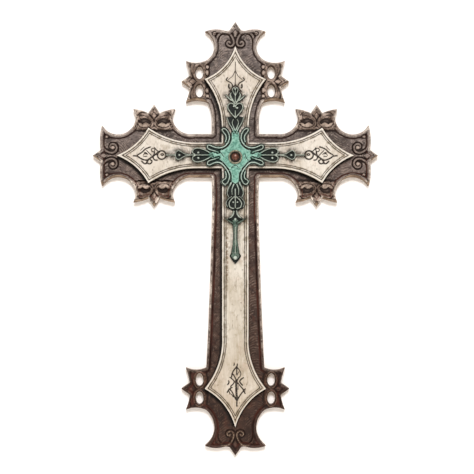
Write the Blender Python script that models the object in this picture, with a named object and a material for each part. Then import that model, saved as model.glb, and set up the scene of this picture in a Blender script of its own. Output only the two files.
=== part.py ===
# Gothic wall cross: a carved board, a raised cream panel, a cast verdigris cross and a stud in a ring.
# The front faces -Y and the flat back lies on y = 0. The origin is on the back, behind the crossing.
# Lengths are millimetres, read as (across, up) on the front, and are turned into metres at the end.
import math

import bpy
import numpy as np
from mathutils import Vector
from mathutils.geometry import delaunay_2d_cdt

MM = 0.001
SEAT_GAP = 0.3

# Reach of the board from the crossing
TOP_REACH = 167.5
FOOT_REACH = 375.5
SIDE_REACH = 179.0

# Half widths of the board's bars, and where their straight stretches end
STUB_HALF = 29.4
ARM_HALF = 27.2
SHAFT_HALF = 28.8
STUB_HEAD_HALF = 34.5
SHAFT_FOOT_HALF = 36.3
STUB_STRAIGHT = 16.0
SHAFT_STRAIGHT = 30.0
ARM_STRAIGHT = 22.4

# Ends of the board: a pointed knob between two wings, with a round bite out of each side
KNOB_HALF = 7.2
KNOB_RISE = 10.5
KNOB_SHOULDER = 5.0
WING_HALF = 38.0
WING_DROP = 1.5
WING_BOW = 2.4
ARM_WING_BOW = 1.8
END_BITE = 11.2
ARM_BITE = 15.4
CROTCH_BITE = 6.8

# Leafy finials beside the ends: how far their middle is from the end's tip, and their reach from the axis
TOP_FINIAL_INSET = 74.6
FOOT_FINIAL_INSET = 83.5
SIDE_FINIAL_INSET = 77.2
END_FINIAL_REACH = 67.5
ARM_FINIAL_REACH = 63.8
FINIAL_HALF_SPAN = 26.2
LEAF_DROP = 5.4
LEAF_SAG = 3.0
LEAF_BOW = 0.8
LEAF_WAIST_HALF = 22.8
LEAF_WAIST_DROP = 17.5
LEAF_ROOT_DROP = 30.5
LEAF_FACE_DROP = 1.2

# Eyes of the finials: pierced beside the top and foot, blind on the arms
EYE_SPACING = 22.8
EYE_DROP = 22.6
EYE_HALF_HEIGHT = 8.3
EYE_HALF_WIDTH = 5.0
SOCKET_SPACING = 24.0
SOCKET_DROP = 22.4
SOCKET_HALF_LENGTH = 9.0
SOCKET_HALF_HEIGHT = 6.0
SOCKET_DEPTH = 5.2
SOCKET_FLOOR_SHARE = 0.6

# Board thickness and relief
BOARD_THICKNESS = 12.0
FIELD_DEPTH = 3.0
RIM_WIDTH = 4.8
RIM_CREST = 2.0
RIM_EDGE_DROP = 2.0
KNOB_PEAK = 2.6
SCROLL_HALF_WIDTH = 1.6
SCROLL_RISE = 2.7

# Hanging slot in the back, for a screw or nail head
HANGER_HEIGHT = 84.0
HANGER_HEAD_DIAMETER = 10.0
HANGER_SHANK_WIDTH = 5.0
HANGER_RISE = 12.0
HANGER_FLOOR = 3.0
HANGER_LIP = 2.0

# Cream panel, set in from the board's tips and sides
PANEL_THICKNESS = 9.2
PANEL_BEVEL = 1.2
PANEL_CLEARANCE = 0.8
PANEL_TOP_INSET = 31.1
PANEL_FOOT_INSET = 36.0
PANEL_SIDE_INSET = 31.0
SHAFT_STRIP = 12.4
ARM_STRIP = 11.4
LOZENGE_INSET = 29.3
TOP_LOZENGE_SHIFT = 2.2
FOOT_LOZENGE_SHIFT = 1.0
SIDE_LOZENGE_SHIFT = 6.6
LOZENGE_RUN = 66.0
ARM_LOZENGE_RUN = 60.0
LOZENGE_BOW = 6.6
ARM_LOZENGE_BOW = 4.8

# Verdigris cross, drawn on a square grid about its own middle
CAST_GRID = 10.0
CAST_DROP = 2.5
CAST_PLATE = 2.2
CAST_BODY = 4.8
CAST_STRAND = 5.8
STRAND_HALF_WIDTH = 1.1
CAST_BODY_BEVEL = 1.0
LOBE_MARGIN = 2.3

# Stud and its ring
STUD_RADIUS = 6.2
STUD_HEIGHT = 6.6
STUD_SHOULDER = 2.2
STUD_CLEARANCE = 0.35
RING_WIDTH = 2.15
RING_HEIGHT = 3.0
RING_BEVEL = 0.7

# Fineness of the facets
ARC_STEP = 7.0
CURVE_STEP = 4.4
STRAND_STEP = 5.2
TURNED_SIDES = 22
NEARLY_STRAIGHT = 0.05
SHARPEST_MITRE = 0.35
KEPT_SHARE = 0.96
CREASE_ANGLE = 40.0
ON_THE_EDGE = 1.001
STEEP = 1.6
BEVEL_SLOPE = 0.7
CUTTER_REACH = 2.0
MERGE = 0.02

# Levels in front of the back, worked out from the sizes above
FIELD = BOARD_THICKNESS - FIELD_DEPTH
PANEL_BACK = FIELD + SEAT_GAP
PANEL_FACE = PANEL_BACK + PANEL_THICKNESS
CAST_BACK = PANEL_FACE + SEAT_GAP
STUD_BACK = CAST_BACK + CAST_BODY + SEAT_GAP
RING_OUTER_RADIUS = STUD_RADIUS + STUD_CLEARANCE + RING_WIDTH


def clear_scene():
    for thing in list(bpy.data.objects):
        bpy.data.objects.remove(thing, do_unlink=True)


def finish(name, colour, roughness, metallic):
    material = bpy.data.materials.new(name)
    material.use_nodes = True
    shader = material.node_tree.nodes["Principled BSDF"]
    shader.inputs["Base Color"].default_value = (*colour, 1.0)
    shader.inputs["Roughness"].default_value = roughness
    shader.inputs["Metallic"].default_value = metallic
    return material


def arc(start, end, bow):
    """Points after start and up to end on a round arc that rises by bow to the left of its chord."""
    start, end = np.array(start, float), np.array(end, float)
    chord = end - start
    length = float(np.hypot(*chord))
    if abs(bow) < NEARLY_STRAIGHT:
        return [end]
    radius = (length ** 2 / 4 + bow ** 2) / (2 * abs(bow))
    half = math.asin(min(1.0, length / 2 / radius))
    if abs(bow) > length / 2:
        half = math.pi - half
    steps = max(2, math.ceil(2 * half * radius / ARC_STEP))
    along = chord / length
    left = np.array((-along[1], along[0])) * math.copysign(1.0, bow)
    points = []
    for step in range(1, steps + 1):
        turn = half * (2 * step / steps - 1)
        reach = length / 2 + radius * math.sin(turn)
        rise = radius * (math.cos(turn) - math.cos(half))
        points.append(start + along * reach + left * rise)
    return points


def smooth(knots, step=CURVE_STEP):
    """An even run of points on a smooth curve through the knots."""
    knots = np.array(knots, float)
    padded = np.vstack([2 * knots[0] - knots[1], knots, 2 * knots[-1] - knots[-2]])
    fine = []
    for a, b, c, d in zip(padded, padded[1:], padded[2:], padded[3:]):
        for t in np.linspace(0.0, 1.0, 12, endpoint=False):
            fine.append(0.5 * (2 * b + (c - a) * t + (2 * a - 5 * b + 4 * c - d) * t ** 2
                               + (3 * b - a - 3 * c + d) * t ** 3))
    fine = np.array(fine + [knots[-1]])
    run = np.concatenate([[0.0], np.cumsum(np.hypot(*np.diff(fine, axis=0).T))])
    count = max(2, math.ceil(run[-1] / step))
    even = np.linspace(0.0, run[-1], count + 1)
    return np.stack([np.interp(even, run, fine[:, 0]), np.interp(even, run, fine[:, 1])], axis=1)


def ellipse(centre, half_x, half_z, count):
    turns = np.linspace(0.0, 2 * math.pi, count, endpoint=False)
    return np.stack([centre[0] + half_x * np.cos(turns), centre[1] + half_z * np.sin(turns)], axis=1)


def trace(corners):
    """The points of a path given as (across, up, bow of the stretch that ends there)."""
    points = [np.array(corners[0][:2], float)]
    for x, z, bow in corners[1:]:
        points += arc(points[-1], (x, z), bow)
    return np.array(points)


def mirrored(points):
    return np.array(points) * (-1.0, 1.0)


def closed_from_half(half):
    """A loop from its right half, which runs from the top tip to the foot tip."""
    return np.vstack([half, mirrored(half[-2:0:-1])])


def distance(points, paths, closed=True):
    """The distance of each point to the nearest of the paths."""
    best = np.full(len(points), np.inf)
    for path in paths:
        ends = np.roll(path, -1, axis=0) if closed else path[1:]
        starts = path if closed else path[:-1]
        for a, b in zip(starts, ends):
            side = b - a
            along = np.clip((points - a) @ side / max(side @ side, 1e-12), 0.0, 1.0)
            best = np.minimum(best, np.hypot(*(points - a - along[:, None] * side).T))
    return best


def inside(points, loop):
    """Whether each point is inside the loop."""
    odd = np.zeros(len(points), bool)
    x, z = points.T
    for (ax, az), (bx, bz) in zip(loop, np.roll(loop, -1, axis=0)):
        if az == bz:
            continue
        crosses = (az > z) != (bz > z)
        odd ^= crosses & (x < ax + (bx - ax) * (z - az) / (bz - az))
    return odd


def offset(loop, width, fences):
    """The loop moved by width to the right of its run, where it keeps that distance from the fences."""
    before, after = np.roll(loop, 1, axis=0), np.roll(loop, -1, axis=0)
    first, second = loop - before, after - loop
    first /= np.hypot(*first.T)[:, None]
    second /= np.hypot(*second.T)[:, None]
    middle = first + second
    middle /= np.maximum(np.hypot(*middle.T), 1e-6)[:, None]
    cosine = np.clip((middle * first).sum(axis=1), SHARPEST_MITRE, 1.0)
    right = np.stack([middle[:, 1], -middle[:, 0]], axis=1)
    moved = loop + right * (width / cosine)[:, None]
    kept = moved[distance(moved, fences) > abs(width) * KEPT_SHARE]
    return [kept[i:i + 2] for i in range(len(kept) - 1)] + [np.array([kept[-1], kept[0]])]


def ring_edges(loop):
    return [np.array(pair) for pair in zip(loop, np.roll(loop, -1, axis=0))]


def path_edges(path):
    return [path[i:i + 2] for i in range(len(path) - 1)]


def triangulate(edges, spots=()):
    """Triangles of the plane that keep every given edge."""
    points, pairs = [], []
    for edge in edges:
        if np.hypot(*(edge[1] - edge[0])) > MERGE:
            pairs.append((len(points), len(points) + 1))
            points += [Vector(edge[0]), Vector(edge[1])]
    points += [Vector(spot) for spot in spots]
    found, _, faces, *_ = delaunay_2d_cdt(points, pairs, [], 0, MERGE, False)
    return np.array([tuple(point) for point in found]), np.array([tuple(face) for face in faces])


def rim_of(faces):
    """The edges that only one triangle uses, in its own order."""
    sides = {}
    for a, b, c in faces:
        for pair in ((a, b), (b, c), (c, a)):
            sides[pair] = True
    return [pair for pair in sides if (pair[1], pair[0]) not in sides]


def fill_pinches(faces, kept):
    """Adds the triangles around any point where two edges of the shape only touch."""
    while True:
        uses = {}
        for a, b in rim_of(faces[kept]):
            uses[a] = uses.get(a, 0) + 1
        pinched = [point for point, count in uses.items() if count > 1]
        if not pinched:
            return kept
        kept = kept | np.isin(faces, pinched).any(axis=1)


def turned_left(points, faces):
    a, b, c = (points[faces[:, i]] for i in range(3))
    area = (b[:, 0] - a[:, 0]) * (c[:, 1] - a[:, 1]) - (b[:, 1] - a[:, 1]) * (c[:, 0] - a[:, 0])
    faces = faces[np.abs(area) > 1e-9]
    area = area[np.abs(area) > 1e-9]
    return np.where(area[:, None] > 0, faces, faces[:, ::-1])


def add_object(name, vertices, faces, material, smooth_shading=False):
    mesh = bpy.data.meshes.new(name)
    mesh.from_pydata([tuple(float(v) * MM for v in point) for point in vertices], [], faces)
    mesh.materials.append(material)
    mesh.update()
    if smooth_shading:
        mesh.shade_smooth()
        mesh.set_sharp_from_angle(angle=math.radians(CREASE_ANGLE))
    thing = bpy.data.objects.new(name, mesh)
    bpy.context.scene.collection.objects.link(thing)
    return thing


def relief_solid(name, edges, spots, within, height, back, material):
    """A solid with a flat back and a front whose height follows a function."""
    points, faces = triangulate(edges, spots)
    faces = turned_left(points, faces)
    kept = within(points[faces].mean(axis=1))
    faces = faces[fill_pinches(faces, kept)]
    rim = rim_of(faces)
    used = sorted({int(i) for i in faces.flat})
    number = {old: new for new, old in enumerate(used)}
    vertices = [(x, -rise, z) for (x, z), rise in zip(points[used], height(points[used]))]
    solid = [tuple(number[int(i)] for i in face) for face in faces]
    rear, rear_faces, sources = back_of(points, rim)
    first = len(vertices)
    vertices += [(x, -back, z) for x, z in rear]
    solid += [tuple(first + int(i) for i in face[::-1]) for face in rear_faces]
    for a, b in rim:
        solid.append((number[b], number[a], first + sources[a], first + sources[b]))
    return add_object(name, vertices, solid, material)


def back_of(points, rim):
    """The flat back inside the rim edges, and the back point that lies behind each rim point."""
    names = sorted({i for pair in rim for i in pair})
    place = {name: i for i, name in enumerate(names)}
    flat = [Vector(points[name]) for name in names]
    pairs = [(place[a], place[b]) for a, b in rim]
    found, _, faces, origins, *_ = delaunay_2d_cdt(flat, pairs, [], 0, 1e-5, True)
    found = np.array([tuple(point) for point in found])
    sources = {names[old]: new for new, olds in enumerate(origins) for old in olds}
    faces = turned_left(found, np.array([tuple(face) for face in faces]))
    centres = found[faces].mean(axis=1)
    odd = np.zeros(len(centres), bool)
    for a, b in rim:
        (ax, az), (bx, bz) = points[a], points[b]
        if az == bz:
            continue
        crosses = (az > centres[:, 1]) != (bz > centres[:, 1])
        odd ^= crosses & (centres[:, 0] < ax + (bx - ax) * (centres[:, 1] - az) / (bz - az))
    return found, faces[odd], sources


def end_corners(reach, direction, inset, bar_half):
    """Right half of the top or foot end, from its tip to where the bar begins."""
    def at(across, depth):
        return across, direction * (reach - depth)

    leaf_out = END_FINIAL_REACH - LEAF_DROP
    notch_out = END_FINIAL_REACH - KNOB_RISE
    near, far = inset - FINIAL_HALF_SPAN, inset + FINIAL_HALF_SPAN
    return [
        (*at(0.0, 0.0), 0.0),
        (*at(KNOB_HALF, KNOB_RISE), 0.0),
        (*at(KNOB_HALF + KNOB_SHOULDER, KNOB_RISE + WING_DROP / 2), 0.0),
        (*at(WING_HALF, KNOB_RISE + WING_DROP), WING_BOW),
        (*at(END_FINIAL_REACH - LEAF_ROOT_DROP, near), -END_BITE),
        (*at(leaf_out, near), -LEAF_SAG),
        (*at(notch_out, inset - KNOB_HALF), -LEAF_BOW),
        (*at(END_FINIAL_REACH, inset), 0.0),
        (*at(notch_out, inset + KNOB_HALF), 0.0),
        (*at(leaf_out, far), -LEAF_BOW),
        (*at(bar_half, far), -LEAF_SAG),
    ]


def arm_corners():
    """Upper half of the right arm, from the crossing's corner to the arm's tip."""
    middle = SIDE_REACH - SIDE_FINIAL_INSET
    leaf = ARM_FINIAL_REACH - LEAF_DROP
    notch = ARM_FINIAL_REACH - KNOB_RISE
    waist = ARM_FINIAL_REACH - LEAF_WAIST_DROP
    shoulder = SIDE_REACH - KNOB_RISE
    return [
        (STUB_HALF, ARM_HALF, 0.0),
        (STUB_HALF + ARM_STRAIGHT, ARM_HALF, 0.0),
        (middle - LEAF_WAIST_HALF, waist, -CROTCH_BITE),
        (middle - FINIAL_HALF_SPAN, leaf, -LEAF_BOW),
        (middle - KNOB_HALF, notch, LEAF_BOW),
        (middle, ARM_FINIAL_REACH, 0.0),
        (middle + KNOB_HALF, notch, 0.0),
        (middle + FINIAL_HALF_SPAN, leaf, LEAF_BOW),
        (middle + LEAF_WAIST_HALF, waist, -LEAF_BOW),
        (shoulder - WING_DROP, WING_HALF, -ARM_BITE),
        (shoulder, KNOB_HALF, ARM_WING_BOW),
        (SIDE_REACH, 0.0, 0.0),
    ]


def board_outline():
    top = end_corners(TOP_REACH, 1, TOP_FINIAL_INSET, STUB_HEAD_HALF)
    foot = end_corners(FOOT_REACH, -1, FOOT_FINIAL_INSET, SHAFT_FOOT_HALF)
    upper = arm_corners()
    half = top + [(STUB_HALF, ARM_HALF + STUB_STRAIGHT, -LEAF_SAG / 2)] + upper
    half += [(x, -z, bow) for x, z, bow in backwards(upper)[1:]]
    half += [(SHAFT_HALF, -ARM_HALF - SHAFT_STRAIGHT, 0.0)]
    run_in = backwards(foot)
    half += [(*run_in[0][:2], -LEAF_BOW)] + run_in[1:]
    return closed_from_half(trace(half))


def backwards(corners):
    """The same corners in the other order; a mirror turns the path over, so each bow keeps its side."""
    turned = [(*corners[-1][:2], 0.0)]
    for i in range(len(corners) - 1, 0, -1):
        turned.append((*corners[i - 1][:2], corners[i][2]))
    return turned


def finial_frames():
    """Each finial's middle on the bar's axis, its outward direction and whether its eyes are pierced."""
    arm_middle = SIDE_REACH - SIDE_FINIAL_INSET
    frames = []
    for side in (1, -1):
        frames.append(((0.0, TOP_REACH - TOP_FINIAL_INSET), (side, 0), END_FINIAL_REACH, True))
        frames.append(((0.0, FOOT_FINIAL_INSET - FOOT_REACH), (side, 0), END_FINIAL_REACH, True))
        for up in (1, -1):
            frames.append(((side * arm_middle, 0.0), (0, up), ARM_FINIAL_REACH, False))
    return frames


def frame_point(frame, along, out):
    (x, z), (dx, dz), _, _ = frame
    return np.array((x + dx * out + abs(dz) * along, z + dz * out + abs(dx) * along))


def eyes(pierced):
    """The centres and half sizes of the pierced eyes, or of the blind sockets."""
    spacing, drop = (EYE_SPACING, EYE_DROP) if pierced else (SOCKET_SPACING, SOCKET_DROP)
    half_along = EYE_HALF_HEIGHT if pierced else SOCKET_HALF_LENGTH
    half_out = EYE_HALF_WIDTH if pierced else SOCKET_HALF_HEIGHT
    found = []
    for frame in finial_frames():
        if frame[3] != pierced:
            continue
        half_x, half_z = (half_out, half_along) if frame[1][0] else (half_along, half_out)
        for sign in (-1, 1):
            centre = frame_point(frame, sign * spacing / 2, frame[2] - drop)
            found.append((centre, half_x, half_z))
    return found


def knobs():
    """The middle of each pointed knob and the direction of its tip."""
    found = [((0.0, TOP_REACH - KNOB_RISE), (0, 1)), ((0.0, KNOB_RISE - FOOT_REACH), (0, -1))]
    for side in (1, -1):
        found.append(((side * (SIDE_REACH - KNOB_RISE), 0.0), (side, 0)))
    for frame in finial_frames():
        found.append((tuple(frame_point(frame, 0.0, frame[2] - KNOB_RISE)), frame[1]))
    return found


def end_scroll():
    """The looped scroll of the top and foot ends, as (across, depth from the tip) in shares of the wing."""
    return [(0.625, 0.86), (0.63, 0.68), (0.59, 0.49), (0.485, 0.365), (0.35, 0.32), (0.22, 0.36),
            (0.135, 0.45), (0.075, 0.56), (0.05, 0.68), (0.085, 0.77), (0.171, 0.80), (0.255, 0.755),
            (0.262, 0.68), (0.205, 0.645), (0.172, 0.69)]


def arm_scroll():
    """The spiral of a side end, as (across, depth from the tip) in shares of the wing."""
    return [(0.45, 0.31), (0.30, 0.33), (0.17, 0.44), (0.10, 0.60), (0.13, 0.74), (0.26, 0.80),
            (0.37, 0.74), (0.38, 0.63), (0.29, 0.59), (0.24, 0.66)]


def board_scrolls():
    curves = []
    for side in (1, -1):
        across = side * WING_HALF
        curves.append(smooth([(across * a, TOP_REACH - WING_HALF * d) for a, d in end_scroll()]))
        curves.append(smooth([(across * a, WING_HALF * d - FOOT_REACH) for a, d in end_scroll()]))
        for up in (1, -1):
            curves.append(smooth([(side * (SIDE_REACH - WING_HALF * d), up * WING_HALF * a)
                                  for a, d in arm_scroll()]))
    return curves


def panel_outline():
    top_middle = TOP_REACH - TOP_FINIAL_INSET + TOP_LOZENGE_SHIFT
    foot_middle = FOOT_FINIAL_INSET - FOOT_REACH + FOOT_LOZENGE_SHIFT
    side_middle = SIDE_REACH - SIDE_FINIAL_INSET + SIDE_LOZENGE_SHIFT
    stub, shaft, arm_half = STUB_HALF - SHAFT_STRIP, SHAFT_HALF - SHAFT_STRIP, ARM_HALF - ARM_STRIP
    lozenge = END_FINIAL_REACH - LOZENGE_INSET
    arm = [
        (stub, arm_half, 0.0),
        (side_middle - ARM_LOZENGE_RUN, arm_half, 0.0),
        (side_middle, ARM_FINIAL_REACH - LOZENGE_INSET, -ARM_LOZENGE_BOW),
        (SIDE_REACH - PANEL_SIDE_INSET, 0.0, -ARM_LOZENGE_BOW),
    ]
    half = [
        (0.0, TOP_REACH - PANEL_TOP_INSET, 0.0),
        (lozenge, top_middle, -LOZENGE_BOW),
        (stub, top_middle - LOZENGE_RUN, -LOZENGE_BOW),
    ]
    half += arm
    half += [(x, -z, bow) for x, z, bow in backwards(arm)[1:]]
    half += [
        (shaft, -arm_half - LOZENGE_BOW, 0.0),
        (shaft, foot_middle + LOZENGE_RUN, 0.0),
        (lozenge, foot_middle, -LOZENGE_BOW),
        (0.0, PANEL_FOOT_INSET - FOOT_REACH, -LOZENGE_BOW),
    ]
    return closed_from_half(trace(half))


def board_height(points, outline, holes, scrolls, seat):
    """How far the carved front stands from the back."""
    edge = distance(points, [outline] + holes)
    rim = (BOARD_THICKNESS - RIM_EDGE_DROP, BOARD_THICKNESS, FIELD)
    height = np.interp(edge, (0.0, RIM_CREST, RIM_WIDTH), rim)
    leafy = np.zeros(len(points))
    for (x, z), (dx, dz), reach, _ in finial_frames():
        out = (points[:, 0] - x) * dx + (points[:, 1] - z) * dz
        along = (points[:, 0] - x) * abs(dz) + (points[:, 1] - z) * abs(dx)
        wide = np.clip((FINIAL_HALF_SPAN - np.abs(along)) / RIM_WIDTH, 0.0, 1.0)
        leafy = np.maximum(leafy, wide * np.clip((out - reach + LEAF_ROOT_DROP) / RIM_CREST, 0.0, 1.0))
    height = np.maximum(height, FIELD + leafy * (FIELD_DEPTH - LEAF_FACE_DROP))
    for (x, z), (dx, dz) in knobs():
        across = np.abs((points[:, 0] - x) * dz) + np.abs((points[:, 1] - z) * dx)
        along = np.abs((points[:, 0] - x) * dx + (points[:, 1] - z) * dz)
        away = across / KNOB_HALF + along / KNOB_RISE
        facet = BOARD_THICKNESS - RIM_EDGE_DROP + KNOB_PEAK * (1.0 - away)
        height = np.where(away <= ON_THE_EDGE, facet, height)
    for centre, half_x, half_z in eyes(False):
        away = np.hypot((points[:, 0] - centre[0]) / half_x, (points[:, 1] - centre[1]) / half_z)
        depth = np.clip((1.0 - away) / (1.0 - SOCKET_FLOOR_SHARE), 0.0, 1.0)
        bowl = BOARD_THICKNESS - SOCKET_DEPTH * depth
        height = np.where(away <= ON_THE_EDGE, bowl, height)
    ridge = np.clip(1.0 - distance(points, scrolls, False) / SCROLL_HALF_WIDTH, 0.0, 1.0)
    height = np.maximum(height, FIELD + SCROLL_RISE * np.minimum(1.0, ridge * STEEP))
    seated = inside(points, seat) | (distance(points, [seat]) < 0.05)
    return np.where(seated, FIELD, height)


def ribbon(path, half_widths):
    """The two edges of a strand and the quads between its cross lines; the widths are spread along it."""
    places = np.linspace(0.0, 1.0, len(path))
    widths = np.interp(places, np.linspace(0.0, 1.0, len(half_widths)), half_widths)
    run = np.gradient(path, axis=0)
    run /= np.hypot(*run.T)[:, None]
    left = np.stack([-run[:, 1], run[:, 0]], axis=1) * widths[:, None]
    quads = [np.array([path[i] + left[i], path[i + 1] + left[i + 1],
                       path[i + 1] - left[i + 1], path[i] - left[i]]) for i in range(len(path) - 1)]
    return path + left, path - left, quads


def make_board():
    outline = board_outline()
    holes = [ellipse(centre, half_x, half_z, 14) for centre, half_x, half_z in eyes(True)]
    scrolls = board_scrolls()
    panel = panel_outline()
    seat = np.array([edge[0] for edge in offset(panel, -PANEL_CLEARANCE, [panel])])
    fences = [outline] + holes
    edges = ring_edges(outline) + ring_edges(seat)
    for width in (RIM_CREST, RIM_WIDTH):
        edges += offset(outline, width, fences)
    for hole in holes:
        edges += ring_edges(hole)
        edges += offset(hole, RIM_CREST, fences)
    for curve in scrolls:
        left, right, _ = ribbon(curve, (SCROLL_HALF_WIDTH, SCROLL_HALF_WIDTH))
        edges += path_edges(curve) + path_edges(left) + path_edges(right)
    spots = []
    for (x, z), (dx, dz) in knobs():
        foot = (x - dx * KNOB_RISE, z - dz * KNOB_RISE)
        for side in (1, -1):
            edges.append(np.array([(x + side * dz * KNOB_HALF, z + side * dx * KNOB_HALF), foot]))
        spots.append((x, z))
    for centre, half_x, half_z in eyes(False):
        edges += ring_edges(ellipse(centre, half_x, half_z, 14))
        edges += ring_edges(ellipse(centre, half_x * SOCKET_FLOOR_SHARE, half_z * SOCKET_FLOOR_SHARE, 8))
        spots.append(centre)

    def within(points):
        solid = inside(points, outline)
        for hole in holes:
            solid &= ~inside(points, hole)
        return solid

    def height(points):
        return board_height(points, outline, holes, scrolls, seat)

    wood = finish("dark_carved_wood", (0.085, 0.052, 0.040), 0.55, 0.0)
    board = relief_solid("back_board", edges, spots, within, height, 0.0, wood)
    cut_hanger(board)
    return board


def cutter(name, vertices, faces):
    thing = add_object(name, vertices, faces, finish(name, (0.5, 0.5, 0.5), 0.5, 0.0))
    thing.hide_render = True
    thing.display_type = "WIRE"
    return thing


def slot_cutter(name, half_width, low, high, near, far):
    """An upright slot with round ends between two levels, or a round hole where they are the same."""
    turns = np.linspace(0.0, 2 * math.pi, 16, endpoint=False) + math.pi / 16
    ring = []
    for turn in turns:
        level = high if math.sin(turn) > 0 else low
        ring.append((half_width * math.cos(turn), level + half_width * math.sin(turn)))
    count = len(ring)
    vertices = [(x, near, z) for x, z in ring] + [(x, far, z) for x, z in ring]
    faces = [tuple(range(count)), tuple(reversed(range(count, 2 * count)))]
    faces += [(i, i + count, (i + 1) % count + count, (i + 1) % count) for i in range(count)]
    return cutter(name, vertices, faces)


def cut_hanger(board):
    """The keyhole slot in the back: a round way in, and a slot above it with a wider space behind its lip."""
    head = HANGER_HEAD_DIAMETER / 2
    shank = HANGER_SHANK_WIDTH / 2
    top = HANGER_HEIGHT + HANGER_RISE
    depth = FIELD - HANGER_FLOOR
    cutters = [
        slot_cutter("hanger_way_in", head, HANGER_HEIGHT, HANGER_HEIGHT, -depth, CUTTER_REACH),
        slot_cutter("hanger_slot", shank, HANGER_HEIGHT, top, -(HANGER_LIP + depth) / 2, CUTTER_REACH),
        slot_cutter("hanger_space", head - SEAT_GAP, HANGER_HEIGHT, top, SEAT_GAP - depth, -HANGER_LIP),
    ]
    for tool in cutters:
        modifier = board.modifiers.new(tool.name, "BOOLEAN")
        modifier.operation = "DIFFERENCE"
        modifier.object = tool
        modifier.solver = "EXACT"


def make_panel():
    outline = panel_outline()
    edges = ring_edges(outline) + offset(outline, PANEL_BEVEL, [outline])

    def within(points):
        return inside(points, outline)

    def height(points):
        edge = distance(points, [outline])
        return PANEL_FACE - PANEL_BEVEL * BEVEL_SLOPE * np.clip(1.0 - edge / PANEL_BEVEL, 0.0, 1.0)

    cream = finish("distressed_cream_paint", (0.78, 0.72, 0.60), 0.6, 0.0)
    return relief_solid("cream_panel", edges, [], within, height, PANEL_BACK, cream)


def dropped(points):
    """Lowers what is near the upright axis: the stud sits a little below the axis of the side arms."""
    share = np.clip((np.abs(points[:, 0]) / CAST_GRID - 0.9) / 1.2, 0.0, 1.0)
    lowered = CAST_DROP * (1.0 - share * share * (3.0 - 2.0 * share))
    return points - np.stack([np.zeros(len(points)), lowered], axis=1)


def drawn(knots, side=1, up=1):
    """Places points of the ornament's drawing, which are counted in squares of its grid from the stud."""
    return dropped(np.array(knots) * (side * CAST_GRID, up * CAST_GRID))


def scoop_strand():
    """The upper right scoop's strand: round one lobe's end, along the body and round the other's."""
    return [(1.22, 1.86), (1.12, 2.32), (1.20, 2.70), (1.47, 2.97), (1.63, 3.24), (1.36, 3.46), (1.02, 3.26),
            (0.79, 2.83), (0.73, 2.33), (0.89, 1.83), (1.28, 1.30), (1.75, 0.97), (2.29, 0.90), (2.79, 1.05),
            (3.17, 1.22), (3.44, 1.14), (3.42, 0.85), (3.06, 0.64), (2.60, 0.51), (2.10, 0.34)]


def lobes():
    """The two lobes that the strand goes round."""
    strand = scoop_strand()
    return [strand[:10], strand[11:]]


def upright_strands():
    """The right-hand strands of the top and foot arms, each with its widths in shares of a plain strand."""
    plain = (1.0, 1.0)
    return [
        ([(0.14, 3.00), (0.40, 3.58), (0.78, 4.20), (1.03, 4.86)], (1.2, 0.9, 0.8)),
        ([(0.04, 3.30), (0.24, 3.78), (0.39, 4.26), (0.24, 4.68)], (1.2, 0.9, 0.7)),
        ([(0.04, 4.90), (0.45, 5.35), (0.82, 5.85), (0.94, 6.20), (0.82, 6.54), (0.50, 6.67), (0.20, 6.55),
          (0.05, 6.32)], plain),
        ([(0.04, 6.62), (0.36, 7.10), (0.62, 7.62), (0.50, 8.02)], (1.0, 1.5, 1.6, 0.5)),
        ([(0.50, 7.02), (0.84, 7.32), (1.16, 7.62)], (0.9, 1.2, 0.8)),
        ([(0.50, -3.20), (0.86, -3.90), (1.00, -4.50), (0.80, -5.00)], (1.2, 0.9, 0.7)),
        ([(0.20, -3.40), (0.42, -4.05), (0.38, -4.70)], (1.2, 0.9, 0.7)),
        ([(0.16, -4.95), (0.58, -5.36), (0.78, -5.80), (0.62, -6.24), (0.20, -6.40)], plain),
        ([(0.16, -6.70), (0.26, -7.10), (0.52, -7.46), (0.88, -7.66)], (1.0, 1.4, 1.3, 0.5)),
        ([(0.30, -8.20), (0.74, -7.96), (1.28, -7.66)], (1.4, 1.1, 0.4)),
    ]


def middle_strands():
    """The strands on the upright axis, the hilt's grip last."""
    return [
        ([(0.0, 5.05), (0.0, 5.75)], (1.0, 0.8)),
        ([(0.0, 6.9), (0.0, 8.0), (0.0, 8.8)], (1.0, 0.8, 0.4)),
        ([(0.0, -4.0), (0.0, -6.3)], (1.1, 1.0)),
        ([(0.0, -8.1), (0.0, -8.8), (0.0, -9.6), (0.0, -10.5), (0.0, -11.2), (0.0, -11.8), (0.0, -12.15)],
         (4.0, 2.9, 2.5, 2.5, 3.1, 4.2, 5.1)),
    ]


def side_strands():
    """The strands of a side arm: half of its heart, half of its knot, then its stem."""
    heart = [(2.90, 0.12), (3.50, 0.48), (4.10, 0.74), (4.70, 0.86), (5.20, 0.68), (5.30, 0.30), (5.02, 0.08)]
    knot = [(5.60, 0.02), (6.25, 0.13), (6.66, 0.37), (7.00, 0.54), (7.32, 0.42), (7.46, 0.02)]
    return [(heart, (0.9, 0.9)), (knot, (0.8, 0.8)), ([(3.0, 0.0), (4.4, 0.0), (5.7, 0.0)], (0.9, 0.8)),
            ([(7.4, 0.0), (8.6, 0.0)], (0.8, 0.8))]


def cast_strands():
    """Every raised strand, as (path, half widths)."""
    strands = []
    for side in (1, -1):
        strands += [(drawn(knots, side), widths) for knots, widths in upright_strands()]
        for up in (1, -1):
            strands.append((drawn(scoop_strand(), side, up), (0.9, 1.0, 1.0, 0.9)))
        for knots, widths in side_strands():
            ways = (1, -1) if knots[1][1] else (1,)
            strands += [(drawn(knots, side, up), widths) for up in ways]
    strands += [(drawn(knots), widths) for knots, widths in middle_strands()]
    return [(smooth(knots, STRAND_STEP), np.array(widths) * STRAND_HALF_WIDTH) for knots, widths in strands]


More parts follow.
